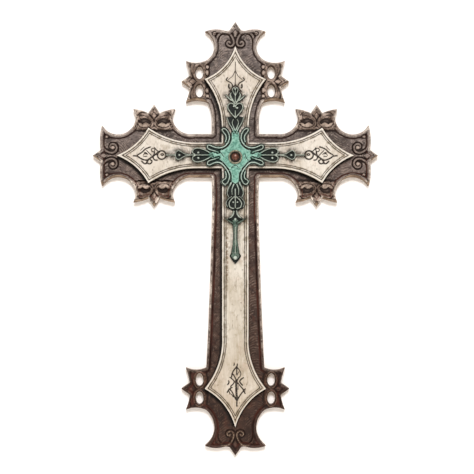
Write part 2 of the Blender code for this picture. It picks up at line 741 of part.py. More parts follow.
def widened(loop, margin):
    """The loop moved outwards by a margin."""
    x, z = loop.T
    anticlockwise = (x * np.roll(z, -1) - np.roll(x, -1) * z).sum() > 0
    run = np.roll(loop, -1, axis=0) - np.roll(loop, 1, axis=0)
    run /= np.hypot(*run.T)[:, None]
    right = np.stack([run[:, 1], -run[:, 0]], axis=1)
    return loop + right * (margin if anticlockwise else -margin)


def cast_plates():
    """The lower plates that join the strands and close their loops."""
    halves = [
        [(0.0, 5.2), (1.14, 4.90), (0.86, 4.1), (0.50, 3.4), (0.44, 2.4), (0.0, 2.0)],
        [(0.0, 6.80), (0.50, 6.80), (0.94, 6.60), (1.08, 6.20), (0.92, 5.76), (0.46, 5.2), (0.14, 4.80),
         (0.0, 4.7)],
        [(0.0, 8.66), (0.36, 8.50), (0.70, 7.9), (0.74, 7.44), (1.14, 7.76), (1.26, 7.58), (0.6, 6.94),
         (0.2, 6.6), (0.0, 6.3)],
        [(0.0, -2.0), (0.44, -2.6), (0.98, -3.9), (1.12, -4.5), (0.96, -5.1), (0.0, -5.2)],
        [(0.0, -4.7), (0.50, -4.74), (0.96, -5.12), (1.24, -5.7), (1.04, -6.30), (0.40, -6.60), (0.0, -6.8)],
        [(0.0, -6.4), (0.34, -6.8), (0.44, -7.24), (0.96, -7.60), (0.5, -8.2), (0.0, -8.3)],
        [(0.0, -11.9), (0.58, -12.0), (0.72, -12.3), (0.50, -12.7), (0.0, -13.3)],
    ]
    plates = [closed_from_half(drawn(half)) for half in halves]
    heart = [(2.7, 0.22), (3.5, 0.58), (4.1, 0.84), (4.74, 0.96), (5.3, 0.76), (5.5, 0.3)]
    heart += [(x, -z) for x, z in reversed(heart)]
    knot = [(5.3, 0.12), (6.2, 0.22), (6.62, 0.46), (7.0, 0.64), (7.40, 0.50), (7.6, 0.0)]
    knot += [(x, -z) for x, z in reversed(knot[:-1])]
    for side in (1, -1):
        plates += [drawn(shape, side) for shape in (heart, knot)]
        for up in (1, -1):
            plates += [widened(smooth(drawn(lobe, side, up)), LOBE_MARGIN) for lobe in lobes()]
    return plates


def cast_body():
    """The star in the middle, whose four necks carry the arms."""
    corners = [(0.50, 3.1, 0.0), (0.50, 2.4, 0.0), (1.14, 1.20, -0.14), (2.1, 0.52, -0.06), (3.2, 0.34, 0.0)]
    upper = trace(np.array(corners) * CAST_GRID)
    reach = 3.4 * CAST_GRID
    right = np.vstack([(0.0, reach), upper, (reach, 0.0), upper[::-1] * (1, -1), (0.0, -reach)])
    return closed_from_half(dropped(right))


def make_cast_cross():
    body = cast_body()
    plates = cast_plates()
    strands = cast_strands()
    edges = ring_edges(body) + offset(body, CAST_BODY_BEVEL, [body])
    regions = [body] + plates
    for plate in plates:
        edges += ring_edges(plate)
    for path, widths in strands:
        left, right, quads = ribbon(path, widths)
        edges += path_edges(path) + path_edges(left) + path_edges(right)
        edges += [np.array([left[0], right[0]]), np.array([left[-1], right[-1]])]
        regions += quads

    def within(points):
        solid = np.zeros(len(points), bool)
        for region in regions:
            solid |= inside(points, region)
        return solid

    def height(points):
        top = np.full(len(points), CAST_PLATE)
        ramp = np.clip(distance(points, [body]) / CAST_BODY_BEVEL, 0.0, 1.0) * inside(points, body)
        top = top + (CAST_BODY - CAST_PLATE) * ramp
        for path, widths in strands:
            near = np.clip(1.0 - (distance(points, [path], False) / max(widths)) ** 2, 0.0, 1.0)
            top = np.maximum(top, CAST_PLATE + (CAST_STRAND - CAST_PLATE) * near)
        under_ring = np.hypot(*(points - drawn([(0.0, 0.0)])).T) < RING_OUTER_RADIUS + RING_WIDTH
        return CAST_BACK + np.where(under_ring, np.minimum(top, CAST_BODY), top)

    patina = finish("verdigris", (0.16, 0.42, 0.34), 0.6, 0.25)
    return relief_solid("verdigris_cross", edges, [], within, height, CAST_BACK, patina)


def turned(name, profile, material, sides=TURNED_SIDES):
    """A solid turned about the stud's axis from a closed or axis-to-axis profile of (radius, height)."""
    ring = any(radius > 0 for radius, _ in (profile[0], profile[-1]))
    vertices, rows = [], []
    for radius, height in profile:
        count = sides if radius > 0 else 1
        rows.append([len(vertices) + i for i in range(count)])
        for i in range(count):
            turn = 2 * math.pi * i / sides
            vertices.append((radius * math.cos(turn), -height, radius * math.sin(turn) - CAST_DROP))
    pairs = list(zip(rows, rows[1:])) + ([(rows[-1], rows[0])] if ring else [])
    faces = []
    for first, second in pairs:
        for i in range(sides):
            j = (i + 1) % sides
            corners = (first[i % len(first)], first[j % len(first)], second[j % len(second)],
                       second[i % len(second)])
            faces.append(tuple(dict.fromkeys(corners)))
    return add_object(name, vertices, faces, material, smooth_shading=True)


def make_bezel():
    inner = STUD_RADIUS + STUD_CLEARANCE
    low, high = STUD_BACK, STUD_BACK + RING_HEIGHT
    profile = [(inner, low), (RING_OUTER_RADIUS, low), (RING_OUTER_RADIUS, high - RING_BEVEL),
               (RING_OUTER_RADIUS - RING_BEVEL, high), (inner + RING_BEVEL, high),
               (inner, high - RING_BEVEL)]
    bronze = finish("aged_bronze", (0.42, 0.30, 0.22), 0.45, 0.6)
    return turned("stud_bezel", profile, bronze)


def make_stud():
    dome = []
    for step in range(7):
        turn = math.pi / 2 * step / 6
        rise = (STUD_HEIGHT - STUD_SHOULDER) * math.sin(turn)
        dome.append((STUD_RADIUS * math.cos(turn) if step < 6 else 0.0, STUD_BACK + STUD_SHOULDER + rise))
    profile = [(0.0, STUD_BACK), (STUD_RADIUS, STUD_BACK)] + dome
    copper = finish("brown_stud", (0.22, 0.085, 0.045), 0.3, 0.3)
    return turned("centre_stud", profile, copper)


clear_scene()
make_board()
make_panel()
make_cast_cross()
make_bezel()
make_stud()
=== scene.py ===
import math

import bpy
import numpy as np
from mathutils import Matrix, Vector
from mathutils.geometry import delaunay_2d_cdt


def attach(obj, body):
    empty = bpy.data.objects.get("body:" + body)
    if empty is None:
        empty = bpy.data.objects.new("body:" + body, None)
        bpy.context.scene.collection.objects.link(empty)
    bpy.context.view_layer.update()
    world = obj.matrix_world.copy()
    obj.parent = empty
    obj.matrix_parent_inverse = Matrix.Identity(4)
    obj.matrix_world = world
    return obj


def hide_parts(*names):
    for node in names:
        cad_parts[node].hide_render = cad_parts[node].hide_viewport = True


# Looks of the gothic wall cross: carved board, painted panel, cast verdigris cross, ring and stud.
# Lengths are millimetres, read as (across, up) on the front, and are turned into metres at the end.
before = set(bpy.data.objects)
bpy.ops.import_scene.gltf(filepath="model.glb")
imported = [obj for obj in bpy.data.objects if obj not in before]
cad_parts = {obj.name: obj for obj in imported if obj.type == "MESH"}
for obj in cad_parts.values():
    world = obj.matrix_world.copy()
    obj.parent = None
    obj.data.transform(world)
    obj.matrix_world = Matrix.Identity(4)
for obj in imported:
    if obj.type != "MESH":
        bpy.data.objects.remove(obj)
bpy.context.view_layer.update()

MM = 0.001
SEAT_GAP = 0.3

# Reach of the board from the crossing, and its half widths
TOP_REACH = 167.5
FOOT_REACH = 375.5
SIDE_REACH = 179.0
STUB_HALF = 29.4
ARM_HALF = 27.2
SHAFT_HALF = 28.8
STUB_HEAD_HALF = 34.5
SHAFT_FOOT_HALF = 36.3
STUB_STRAIGHT = 16.0
SHAFT_STRAIGHT = 30.0
ARM_STRAIGHT = 22.4

# Ends: a pointed knob between two wings, with a round bite out of each side
KNOB_HALF = 7.2
KNOB_RISE = 10.5
KNOB_SHOULDER = 5.0
WING_HALF = 38.0
WING_DROP = 1.5
WING_BOW = 2.4
ARM_WING_BOW = 1.8
END_BITE = 11.2
ARM_BITE = 15.4
CROTCH_BITE = 6.8

# Leafy finials
TOP_FINIAL_INSET = 74.6
FOOT_FINIAL_INSET = 83.5
SIDE_FINIAL_INSET = 77.2
END_FINIAL_REACH = 67.5
ARM_FINIAL_REACH = 63.8
FINIAL_HALF_SPAN = 26.2
LEAF_DROP = 5.4
LEAF_SAG = 3.0
LEAF_BOW = 0.8
LEAF_WAIST_HALF = 22.8
LEAF_WAIST_DROP = 17.5
LEAF_ROOT_DROP = 30.5
LEAF_FACE = 10.9
LEAF_LIP = 0.5
LEAF_LIP_WIDTH = 2.2
LEAF_SIDE_FADE = 2.5
LEAF_ROOT_FADE = 1.2

# Eyes of the finials: pierced beside the top and foot, blind on the arms
EYE_SPACING = 22.8
EYE_DROP = 22.6
EYE_HALF_HEIGHT = 8.3
EYE_HALF_WIDTH = 5.0
SOCKET_SPACING = 24.0
SOCKET_DROP = 22.4
SOCKET_HALF_LENGTH = 9.0
SOCKET_HALF_HEIGHT = 6.0
SOCKET_DEPTH = 6.2
SOCKET_SILL = 2.6
SOCKET_WALL = 0.2
LOBE_HANG = 0.42
LOBE_ROOT = 0.52
LOBE_SHIFT = 0.3
LOBE_EDGE = 0.22

# Board relief
BOARD_THICKNESS = 12.0
FIELD = 9.0
KNOB_TOP = 12.6
KNOB_EDGE = 10.0
KNOB_CUTS = (0.30, 0.68)
KNOB_CUT_DEPTH = 1.1
KNOB_CUT_WIDTH = 0.10
KNOB_CUT_END = -2.6
KNOB_CUT_FADE = 7.0
KNOB_COLLAR = 0.86
KNOB_COLLAR_WIDTH = 0.08
KNOB_STEEPNESS = 1.25
RIM_RUN = (0.0, 0.3, 0.9, 1.9, 2.9, 3.8, 4.5, 4.9, 5.4, 6.2)
RIM_RISE = (9.6, 10.8, 11.7, 12.0, 11.8, 11.0, 9.7, 8.1, 7.9, 9.0)
SCROLL_HALF_WIDTH = 1.45
SCROLL_RISE = 2.7
SCROLL_DITCH = 2.2
END_BOW_SHARE = 0.62
ARM_BOW_SHARE = 0.35
SCROLL_ROUNDNESS = 0.6
DITCH_HALF_WIDTH = 0.65
DITCH_DEPTH = 0.8
LOWEST_SHARE = 0.8
GROOVE_STEEPNESS = 1.4
BEAD_MOAT = 0.9
BEAD_MOAT_DEPTH = 0.6
BEAD_FOOT = 0.9
EYE_BAND_REACH = 1.9
EYE_BAND_HALF_WIDTH = 1.6
EYE_BAND_TOP = BOARD_THICKNESS + 0.3
EYE_BAND_ROUNDNESS = 0.7
GUIDES_ALONG_RIM = (*RIM_RUN[1:-1], 6.1)
GUIDES_ROUND_EYES = (0.4, 1.0, 1.9, 2.8)
GUIDES_ON_SCROLLS = (0.0, 0.8, -0.8, SCROLL_HALF_WIDTH, -SCROLL_HALF_WIDTH)
SEAT_CLEARANCE = 0.8
HIDDEN_INSET = 3.0

# Gouge marks of the field: how many, then the range of each one's sizes, and the rows of pale strokes
MARK_COUNT = 3400
MARK_SLANT = (0.25, 0.45)
MARK_LENGTH = (1.6, 3.4)
MARK_WIDTH = (0.5, 0.95)
MARK_DEPTH = (-0.75, 0.55)
STROKE_SPACING = 3.3
STROKE_AXIS = 17.0
STROKE_SLANT = 0.9
STROKE_BOW = 0.05
STROKE_GAP = 0.2
STROKE_WAVER = ((1.5, 9.0, 41), (0.5, 3.0, 42))
STROKE_PATCHES = ((1.6, 5.0, 43), (1.2, 2.4, 44))

# Hand-worked unevenness, in layers of (height, size, seed)
RIM_WAVER = ((0.28, 4.0, 3),)
FIELD_LUMPS = ((0.34, 5.0, 5), (0.2, 2.2, 6))
LEAF_LUMPS = ((0.25, 3.4, 8),)
PANEL_WAVER = ((0.10, 3.0, 21),)
PANEL_LUMPS = ((0.07, 9.0, 22), (0.04, 2.5, 23))
HAMMERING = ((0.26, 2.1, 31), (0.09, 1.1, 32))

# Marks of the board, worn and painted: where its lines run, and the steps and leans at which the panel's
# painted shadow and the painted shade of the lower edges are looked for
SHADE_STEPS = (0.4, 0.9, 1.4, 1.9, 2.4, 2.9, 3.4, 3.9, 4.4)
SHADE_LEANS = (1.0, 0.1)
UNDERSIDE_STEPS = (0.6, 1.2, 1.8, 2.4, 3.0, 3.6)
UNDERSIDE_LEANS = (-0.7, 0.7)
UNDERSIDE_END = -345.0
WORN_EDGE = 2.8
GROOVE_PLACE = RIM_RUN[-2] - 0.3
GROOVE_HALF_WIDTH = 0.62
WIDE_GROOVE_PLACE = 4.4
STROKE_START = 6.0
SCROLL_HIGHLIGHT_HALF_WIDTH = 0.55
EYE_LINE_HALF_WIDTH = 0.6
LEAF_TONE_DROP = 33.0
LEAF_TONE_HALF = 27.0
SHAFT_START = -68.0
SHAFT_FADE = 20.0
FOOT_END = -200.0
FOOT_SCROLL_HALF = 19.0
HOLLOW_AND_CREST_REACHES = ((14, 0.55), (4, 0.28))
AVERAGING = 0.6

# Hanging slot in the back
HANGER_HEIGHT = 84.0
HANGER_HEAD_RADIUS = 5.0
HANGER_SHANK_HALF = 2.5
HANGER_SPACE_HALF = 4.7
HANGER_RISE = 12.0
HANGER_DEPTH = 6.0
HANGER_LIP = 2.0

# Cream panel
PANEL_BACK = FIELD + SEAT_GAP
PANEL_FACE = PANEL_BACK + 9.2
PANEL_TOP_INSET = 31.1
PANEL_FOOT_INSET = 36.0
PANEL_SIDE_INSET = 31.0
SHAFT_STRIP = 12.4
ARM_STRIP = 11.4
LOZENGE_INSET = 29.3
TOP_LOZENGE_SHIFT = 2.2
FOOT_LOZENGE_SHIFT = 1.0
SIDE_LOZENGE_SHIFT = 6.6
LOZENGE_RUN = 66.0
ARM_LOZENGE_RUN = 60.0
LOZENGE_BOW = 6.6
ARM_LOZENGE_BOW = 4.8
PANEL_RUN = (0.0, 0.35, 1.1, 2.0, 2.7, 3.4, 4.2, 4.85, 5.5)
PANEL_RISE = (-1.0, -0.3, 0.0, -0.05, -1.0, -0.15, -0.1, -0.9, -0.15)
BORDER_LINES = ((2.7, 0.62), (4.85, 0.55))
DRAWING_DEPTH = 0.45
LINE_STEEPNESS = 2.2
PANEL_LIP = 0.1
PANEL_SIDE_TONE = 1.6
GRIME_AND_SHADE_REACH = 9.0

# Drawn motifs of the panel, whose side ones have a ring with an eye and a bud beside it
MOTIF_RING_PLACE = 91.7
MOTIF_RING = 5.3
MOTIF_RING_LINE = 1.35
MOTIF_RING_RISE = 0.3
LINE_BOLDNESS = 1.35
SIDE_LINE_BOLDNESS = 1.6

# Verdigris cross
CAST_GRID = 10.0
CAST_DROP = 2.5
CAST_BACK = PANEL_FACE + SEAT_GAP
CAST_PLATE = 2.2
CAST_BODY = 4.8
CAST_STRAND = 5.8
STRAND_HALF_WIDTH = 1.05
CAST_BODY_BEVEL = 1.0
LOBE_MARGIN = 2.3
GRIP_RIB = (0.8, 0.8)
GRIP_DROP = 0.9
GRIP_REACH = 4.0
GRIP_TOP = -78.0
CUT_HALF_WIDTH = 0.6
CUT_DEPTH = 0.7
PEARL_RISE = 2.9
PLATE_EDGE_RISE = 2.1
PLATE_EDGE_HALF_WIDTH = 0.5
SCOOP_MOAT = 0.75
HAMMERED_DROP = 0.35
RING_SEAT_MARGIN = 1.2
PLATE_TONE_TOP = 3.4
PEARL_GLINT_SHARE = 0.9

# Stud and its ring
STUD_BACK = CAST_BACK + CAST_BODY + SEAT_GAP
STUD_RADIUS = 6.2
STUD_HEIGHT = 6.6
STUD_SHOULDER = 2.2
RING_INNER_RADIUS = 6.55
RING_OUTER_RADIUS = 8.7
RING_SHOULDER = 1.7
RING_CROWN = 1.3
TURNED_SIDES = 96
RING_STEPS = 12
DOME_STEPS = 18

# Fineness of the meshes
ARC_STEP = 1.5
CURVE_STEP = 0.9
MERGE = 0.02
STRETCH = 12
CURVE_SAMPLES = 24
NEARLY_STRAIGHT = 0.05
KEPT_SHARE = 0.97
BOARD_GRID = 0.92
HIDDEN_GRID = 6.0
PANEL_GRID = 1.15
CAST_MESH_GRID = 0.52
ROW_SHARE = 0.866
FLAT = 1e-9
BACK_MERGE = 1e-5

# Finishes: stretches of the cross over which a tone comes in, in metres; the board's first two carry its
# painted light, brighter towards the top
FOOT_TO_CROSSING = (-0.33, -0.06)
CROSSING_TO_TOP = (-0.10, 0.06)
PANEL_FOOT = (-0.33, -0.20)
PANEL_MIDDLE = (-0.08, 0.04)
STREAK_PLACE = -0.0104
STREAK_HALF_WIDTH = (0.0006, 0.0028)
STREAK_START = (-0.175, -0.150)
STREAK_END = (-0.095, -0.080)
NEAR_STUD = (0.020, 0.048)
NOISE_ROUGHNESS = 0.55

# Studio, in metres
FLOOR_LEVEL = -0.62
WALL_GAP = 0.0008
WALL_TOP = 3.0
WALL_GLOW = 0.17
ROOM_HALF = 4
ROOM_DEPTH = 5
LIGHTS_AIM = (0.0, 0.0, -0.1)
LIGHTS = (
    ("key", (0.06, -2.46, 1.12), 0.85, 66.0),
    ("fill", (-1.2, -2.8, 0.5), 2.0, 7.0),
    ("back_light", (0.9, 2.4, 1.0), 1.6, 30.0),
)
CAMERA_DISTANCE = 1.5
FOCUS_PLANE = 0.013
VIEW_MIDDLE = (0.0021, -0.1018)
VIEW_WIDTH = 0.5925
SENSOR_WIDTH = 36.0


# Curves on the front

def arc(start, end, bow):
    """Points after start and up to end on a round arc that rises by bow to the left of its chord."""
    start, end = np.array(start, float), np.array(end, float)
    chord = end - start
    length = float(np.hypot(*chord))
    along = chord / length
    if abs(bow) < NEARLY_STRAIGHT:
        steps = max(1, math.ceil(length / ARC_STEP))
        return [start + chord * step / steps for step in range(1, steps + 1)]
    radius = (length ** 2 / 4 + bow ** 2) / (2 * abs(bow))
    half = math.asin(min(1.0, length / 2 / radius))
    if abs(bow) > length / 2:
        half = math.pi - half
    steps = max(2, math.ceil(2 * half * radius / ARC_STEP))
    left = np.array((-along[1], along[0])) * math.copysign(1.0, bow)
    points = []
    for step in range(1, steps + 1):
        turn = half * (2 * step / steps - 1)
        reach = length / 2 + radius * math.sin(turn)
        rise = radius * (math.cos(turn) - math.cos(half))
        points.append(start + along * reach + left * rise)
    return points


def smooth(knots, step=CURVE_STEP):
    """An even run of points on a smooth curve through the knots."""
    knots = np.array(knots, float)
    padded = np.vstack([2 * knots[0] - knots[1], knots, 2 * knots[-1] - knots[-2]])
    fine = []
    for a, b, c, d in zip(padded, padded[1:], padded[2:], padded[3:]):
        for t in np.linspace(0.0, 1.0, CURVE_SAMPLES, endpoint=False):
            fine.append(0.5 * (2 * b + (c - a) * t + (2 * a - 5 * b + 4 * c - d) * t ** 2
                               + (3 * b - a - 3 * c + d) * t ** 3))
    fine = np.array(fine + [knots[-1]])
    run = np.concatenate([[0.0], np.cumsum(np.hypot(*np.diff(fine, axis=0).T))])
    even = np.linspace(0.0, run[-1], max(2, math.ceil(run[-1] / step)) + 1)
    return np.stack([np.interp(even, run, fine[:, 0]), np.interp(even, run, fine[:, 1])], axis=1)


def ellipse(centre, half_x, half_z, step=ARC_STEP):
    """Points round an ellipse."""
    count = max(8, math.ceil(2 * math.pi * (half_x + half_z) / 2 / step))
    turns = np.linspace(0.0, 2 * math.pi, count, endpoint=False)
    return np.stack([centre[0] + half_x * np.cos(turns), centre[1] + half_z * np.sin(turns)], axis=1)


def trace(corners):
    """The points of a path given as (across, up, bow of the stretch that ends there)."""
    points = [np.array(corners[0][:2], float)]
    for x, z, bow in corners[1:]:
        points += arc(points[-1], (x, z), bow)
    return np.array(points)


def closed_from_half(half):
    """A loop from its right half, which runs from the top tip to the foot tip."""
    return np.vstack([half, half[-2:0:-1] * (-1.0, 1.0)])


def turning(loop):
    """1 where the loop runs anticlockwise, so that its right side is its outside, and -1 where it doesn't."""
    x, z = loop.T
    area = (x * np.roll(z, -1) - np.roll(x, -1) * z).sum()
    return math.copysign(1.0, area)


def backwards(corners):
    """The same corners in the other order; a mirror turns the path over, so each bow keeps its side."""
    turned = [(*corners[-1][:2], 0.0)]
    for i in range(len(corners) - 1, 0, -1):
        turned.append((*corners[i - 1][:2], corners[i][2]))
    return turned


# Distances and regions

def gap(points, paths, reach, closed=False):
    """The distance of each point to the nearest of the paths, counted only up to reach."""
    best = np.full(len(points), float(reach))
    for path in paths:
        line = np.vstack([path, path[:1]]) if closed else np.asarray(path, float)
        for first in range(0, len(line) - 1, STRETCH):
            part = line[first:first + STRETCH + 1]
            low, high = part.min(axis=0) - reach, part.max(axis=0) + reach
            close = np.flatnonzero(((points > low) & (points < high)).all(axis=1))
            if not len(close):
                continue
            sides = np.diff(part, axis=0)
            to = points[close][:, None] - part[:-1]
            along = (to * sides).sum(-1) / np.maximum((sides ** 2).sum(-1), 1e-12)
            off = to - np.clip(along, 0.0, 1.0)[..., None] * sides
            best[close] = np.minimum(best[close], np.hypot(off[..., 0], off[..., 1]).min(axis=1))
    return best


def within(points, edges):
    """Whether each point is inside the shape that the edges close."""
    low, high = edges.min(axis=(0, 1)), edges.max(axis=(0, 1))
    close = np.flatnonzero(((points >= low) & (points <= high)).all(axis=1))
    order = close[np.argsort(points[close, 1])]
    x, z = points[order].T
    odd = np.zeros(len(order), bool)
    for (ax, az), (bx, bz) in edges.tolist():
        first, last = np.searchsorted(z, sorted((az, bz)))
        if first < last:
            band = slice(first, last)
            odd[band] ^= x[band] < ax + (bx - ax) * (z[band] - az) / (bz - az)
    found = np.zeros(len(points), bool)
    found[order] = odd
    return found


def inside(points, loop):
    return within(points, ring_edges(loop))


def clamped(values):
    return np.clip(values, 0.0, 1.0)


def bell(values, width):
    """1 where the values are 0, and falling away on both sides."""
    return np.exp(-(values / width) ** 2)


def nearness(points, paths, width, closed=False):
    """1 on the paths, and down to 0 at the width from them."""
    return clamped(1.0 - gap(points, paths, width, closed) / width)


def seen_along(points, place, direction):
    """How far each point lies from a place in a direction, and how far along the other axis."""
    off = points - place
    dx, dz = direction
    return off[:, 0] * dx + off[:, 1] * dz, off[:, 0] * abs(dz) + off[:, 1] * abs(dx)


def bump_on(points, centre, half_x, half_z):
    """A round swelling, 1 in its middle and 0 from its rim on."""
    away = ((points[:, 0] - centre[0]) / half_x) ** 2 + ((points[:, 1] - centre[1]) / half_z) ** 2
    return clamped(1.0 - away)


def uneven(points, layers):
    """Uneven heights from layers of lumps, each given as (height, size, seed)."""
    return sum(height * lumps(points, size, seed) for height, size, seed in layers)


def lumps(points, size, seed):
    """Even noise between -1 and 1 with lumps of about the given size."""
    low = points.min(axis=0) - 2 * size
    place = (points - low) / size
    cell = np.floor(place).astype(int)
    inner = place - cell
    inner = inner * inner * (3 - 2 * inner)
    table = np.random.default_rng(seed).uniform(-1.0, 1.0, cell.max(axis=0) + 3)
    (i, k), (u, v) = cell.T, inner.T
    return ((table[i, k] * (1 - u) + table[i + 1, k] * u) * (1 - v)
            + (table[i, k + 1] * (1 - u) + table[i + 1, k + 1] * u) * v)


# Meshes

def ring_edges(loop):
    return np.stack([loop, np.roll(loop, -1, axis=0)], axis=1)


def path_edges(path):
    return np.stack([path[:-1], path[1:]], axis=1)


def beside(path, width, closed=False):
    """The path moved by width to the right of its run."""
    if closed:
        run = np.roll(path, -1, axis=0) - np.roll(path, 1, axis=0)
    else:
        run = np.gradient(path, axis=0)
    run = run / np.maximum(np.hypot(*run.T), 1e-9)[:, None]
    return path + np.stack([run[:, 1], -run[:, 0]], axis=1) * width


def offset_edges(loop, width, fences):
    """The edges of a loop moved inwards by width, where they keep that distance from the fences."""
    moved = beside(loop, width, closed=True)
    pairs = ring_edges(moved)
    kept = gap(moved, fences, abs(width) + 1.0, closed=True) > abs(width) * KEPT_SHARE
    length = np.hypot(*(pairs[:, 1] - pairs[:, 0]).T)
    return pairs[kept & np.roll(kept, -1) & (length > MERGE) & (length < 3 * ARC_STEP)]


def lattice(low, high, step):
    """The points of a triangular grid over a box."""
    rows = np.arange(low[1], high[1], step * ROW_SHARE)
    columns = np.arange(low[0], high[0], step)
    x, z = np.meshgrid(columns, rows)
    x = x + (np.arange(len(rows)) % 2)[:, None] * step / 2
    return np.stack([x.ravel(), z.ravel()], axis=1)


def away_from(points, edges, step):
    """The points that no given edge comes near."""
    low = points.min(axis=0) - 4 * step
    size = step * 0.5
    taken = np.zeros(tuple(((points.max(axis=0) - low) / size).astype(int) + 8), bool)
    for share in np.linspace(0.0, 1.0, 5):
        spots = edges[:, 0] * (1 - share) + edges[:, 1] * share
        cells = ((spots - low) / size).astype(int)
        for i in (-1, 0, 1):
            for k in (-1, 0, 1):
                shifted = np.clip(cells + (i, k), 0, np.array(taken.shape) - 1)
                taken[tuple(shifted.T)] = True
    cells = ((points - low) / size).astype(int)
    return points[~taken[tuple(cells.T)]]


def triangulate(points, pairs, merge, origins_too=False):
    """Triangles of the plane that keep the edge of every pair, and the points each corner comes from."""
    points = [Vector(point) for point in points.tolist()]
    found, _, faces, origins, *_ = delaunay_2d_cdt(points, pairs, [], 0, merge, origins_too)
    found, faces = (np.array([tuple(row) for row in rows]) for rows in (found, faces))
    a, b, c = (found[faces[:, i]] for i in range(3))
    area = (b[:, 0] - a[:, 0]) * (c[:, 1] - a[:, 1]) - (b[:, 1] - a[:, 1]) * (c[:, 0] - a[:, 0])
    faces = np.where(area[:, None] > 0, faces, faces[:, ::-1])
    return found, faces[np.abs(area) > FLAT], origins


def sides_of(faces):
    return np.vstack([faces[:, [0, 1]], faces[:, [1, 2]], faces[:, [2, 0]]])


def rim_of(faces):
    """The edges that only one triangle uses, in its own order."""
    pairs = sides_of(faces)
    count = faces.max() + 1
    forward = pairs[:, 0] * count + pairs[:, 1]
    back = pairs[:, 1] * count + pairs[:, 0]
    return pairs[~np.isin(forward, back)]


def fill_pinches(faces, kept):
    """Adds the triangles around any point where two edges of the shape only touch."""
    while True:
        names, uses = np.unique(rim_of(faces[kept])[:, 0], return_counts=True)
        pinched = names[uses > 1]
        if not len(pinched):
            return kept
        kept = kept | np.isin(faces, pinched).any(axis=1)


def averaged(values, faces, rounds):
    """The values of a mesh's points after each has moved that many times towards its neighbours."""
    pairs = sides_of(faces)
    first, second = pairs.T.ravel(), pairs[:, ::-1].T.ravel()
    count = np.maximum(np.bincount(first, minlength=len(values)), 1)
    for _ in range(rounds):
        near = np.bincount(first, weights=values[second], minlength=len(values)) / count
        values = (1.0 - AVERAGING) * values + AVERAGING * near
    return values


def hollows_and_crests(rise, faces):
    """How far each point lies below what is round it and how far above, both from 0 to 1."""
    broad, tight = ((averaged(rise, faces, rounds) - rise) / full for rounds, full in HOLLOW_AND_CREST_REACHES)
    return {"hollow": clamped(np.maximum(broad, tight)), "crest": clamped(np.maximum(-broad, -tight))}


def add_mesh(name, vertices, faces, crease=50.0):
    mesh = bpy.data.meshes.new(name)
    mesh.from_pydata((np.asarray(vertices, float) * MM).tolist(), [], [list(face) for face in faces])
    mesh.shade_smooth()
    mesh.set_sharp_from_angle(angle=math.radians(crease))
    mesh.validate()
    thing = bpy.data.objects.new(name, mesh)
    bpy.context.scene.collection.objects.link(thing)
    return thing


def paint(thing, **layers):
    """Keeps numbers for each point of the mesh, for its finish to read."""
    for name, values in layers.items():
        layer = thing.data.attributes.new(name, "FLOAT", "POINT")
        full = np.zeros(len(thing.data.vertices), np.float32)
        full[:len(values)] = values
        layer.data.foreach_set("value", full)


def pocket_loops():
    """The keyhole in the back and the wider space behind its lip, point for point."""
    head, shank, space = HANGER_HEAD_RADIUS, HANGER_SHANK_HALF, HANGER_SPACE_HALF
    top = HANGER_HEIGHT + HANGER_RISE
    keyhole, wide = [], []
    for degrees in range(-90, 61, 10):
        turn = math.radians(degrees)
        keyhole.append((head * math.cos(turn), HANGER_HEIGHT + head * math.sin(turn)))
        across = (head + 0.05) * math.cos(turn) if degrees < 20 else space
        wide.append((across, HANGER_HEIGHT + (head + 0.05) * math.sin(turn)))
    for degrees in range(0, 91, 15):
        turn = math.radians(degrees)
        keyhole.append((shank * math.cos(turn), top + shank * math.sin(turn)))
        wide.append((space * math.cos(turn), top + space * math.sin(turn)))
    return [np.array(loop + [(-x, z) for x, z in loop[-2:0:-1]]) for loop in (keyhole, wide)]


def relief(name, outline, holes, guides, grid, height, back, hidden=None, regions=None, pocket=None):
    """A closed mesh with a flat back, straight sides and a front that follows a height function, then the
    front's points and how far each lies in a hollow and on a crest."""
    edges = np.vstack([ring_edges(loop) for loop in [outline] + holes] + guides)
    corners = edges.reshape(-1, 2)
    low, high = corners.min(axis=0), corners.max(axis=0)
    fine = lattice(low, high, grid)
    if hidden is not None:
        coarse = lattice(low, high, HIDDEN_GRID)
        fine = np.vstack([fine[~inside(fine, hidden)], coarse[inside(coarse, hidden)]])
    pairs = [(2 * i, 2 * i + 1) for i in range(len(edges))]
    points, faces, _ = triangulate(np.vstack([corners, away_from(fine, edges, grid)]), pairs, MERGE)
    middles = points[faces].mean(axis=1)
    kept = np.zeros(len(middles), bool)
    for region in regions or [outline]:
        kept |= inside(middles, region)
    for hole in holes:
        kept &= ~inside(middles, hole)
    faces = faces[fill_pinches(faces, kept)]
    used, faces = np.unique(faces, return_inverse=True)
    faces = faces.reshape(-1, 3)
    points = points[used]
    rise = height(points)
    rim = rim_of(faces)
    rear, rear_faces, sources = back_of(points, rim, pocket)
    first = len(points)
    front = np.stack([points[:, 0], -rise, points[:, 1]], axis=1)
    behind = np.stack([rear[:, 0], np.full(len(rear), -back), rear[:, 1]], axis=1)
    sides = [(b, a, first + sources[a], first + sources[b]) for a, b in rim.tolist()]
    vertices = np.vstack([front, behind])
    solid = faces.tolist() + (rear_faces[:, ::-1] + first).tolist() + sides
    if pocket:
        vertices, solid = with_pocket(vertices, solid, first, rear, pocket)
    return add_mesh(name, vertices, solid), points, hollows_and_crests(rise, faces)


def back_of(points, rim, pocket):
    """The flat back inside the rim edges, and the back point that lies behind each rim point."""
    names = np.unique(rim)
    place = {int(name): i for i, name in enumerate(names)}
    flat = points[names]
    pairs = [(place[a], place[b]) for a, b in rim.tolist()]
    if pocket:
        start, count = len(flat), len(pocket[0])
        flat = np.vstack([flat, pocket[0]])
        pairs += [(start + i, start + (i + 1) % count) for i in range(count)]
    found, faces, origins = triangulate(flat, pairs, BACK_MERGE, origins_too=True)
    sources = {int(names[old]): new for new, olds in enumerate(origins) for old in olds if old < len(names)}
    centres = found[faces].mean(axis=1)
    kept = within(centres, points[rim])
    if pocket:
        kept &= ~inside(centres, pocket[0])
    return found, faces[kept], sources


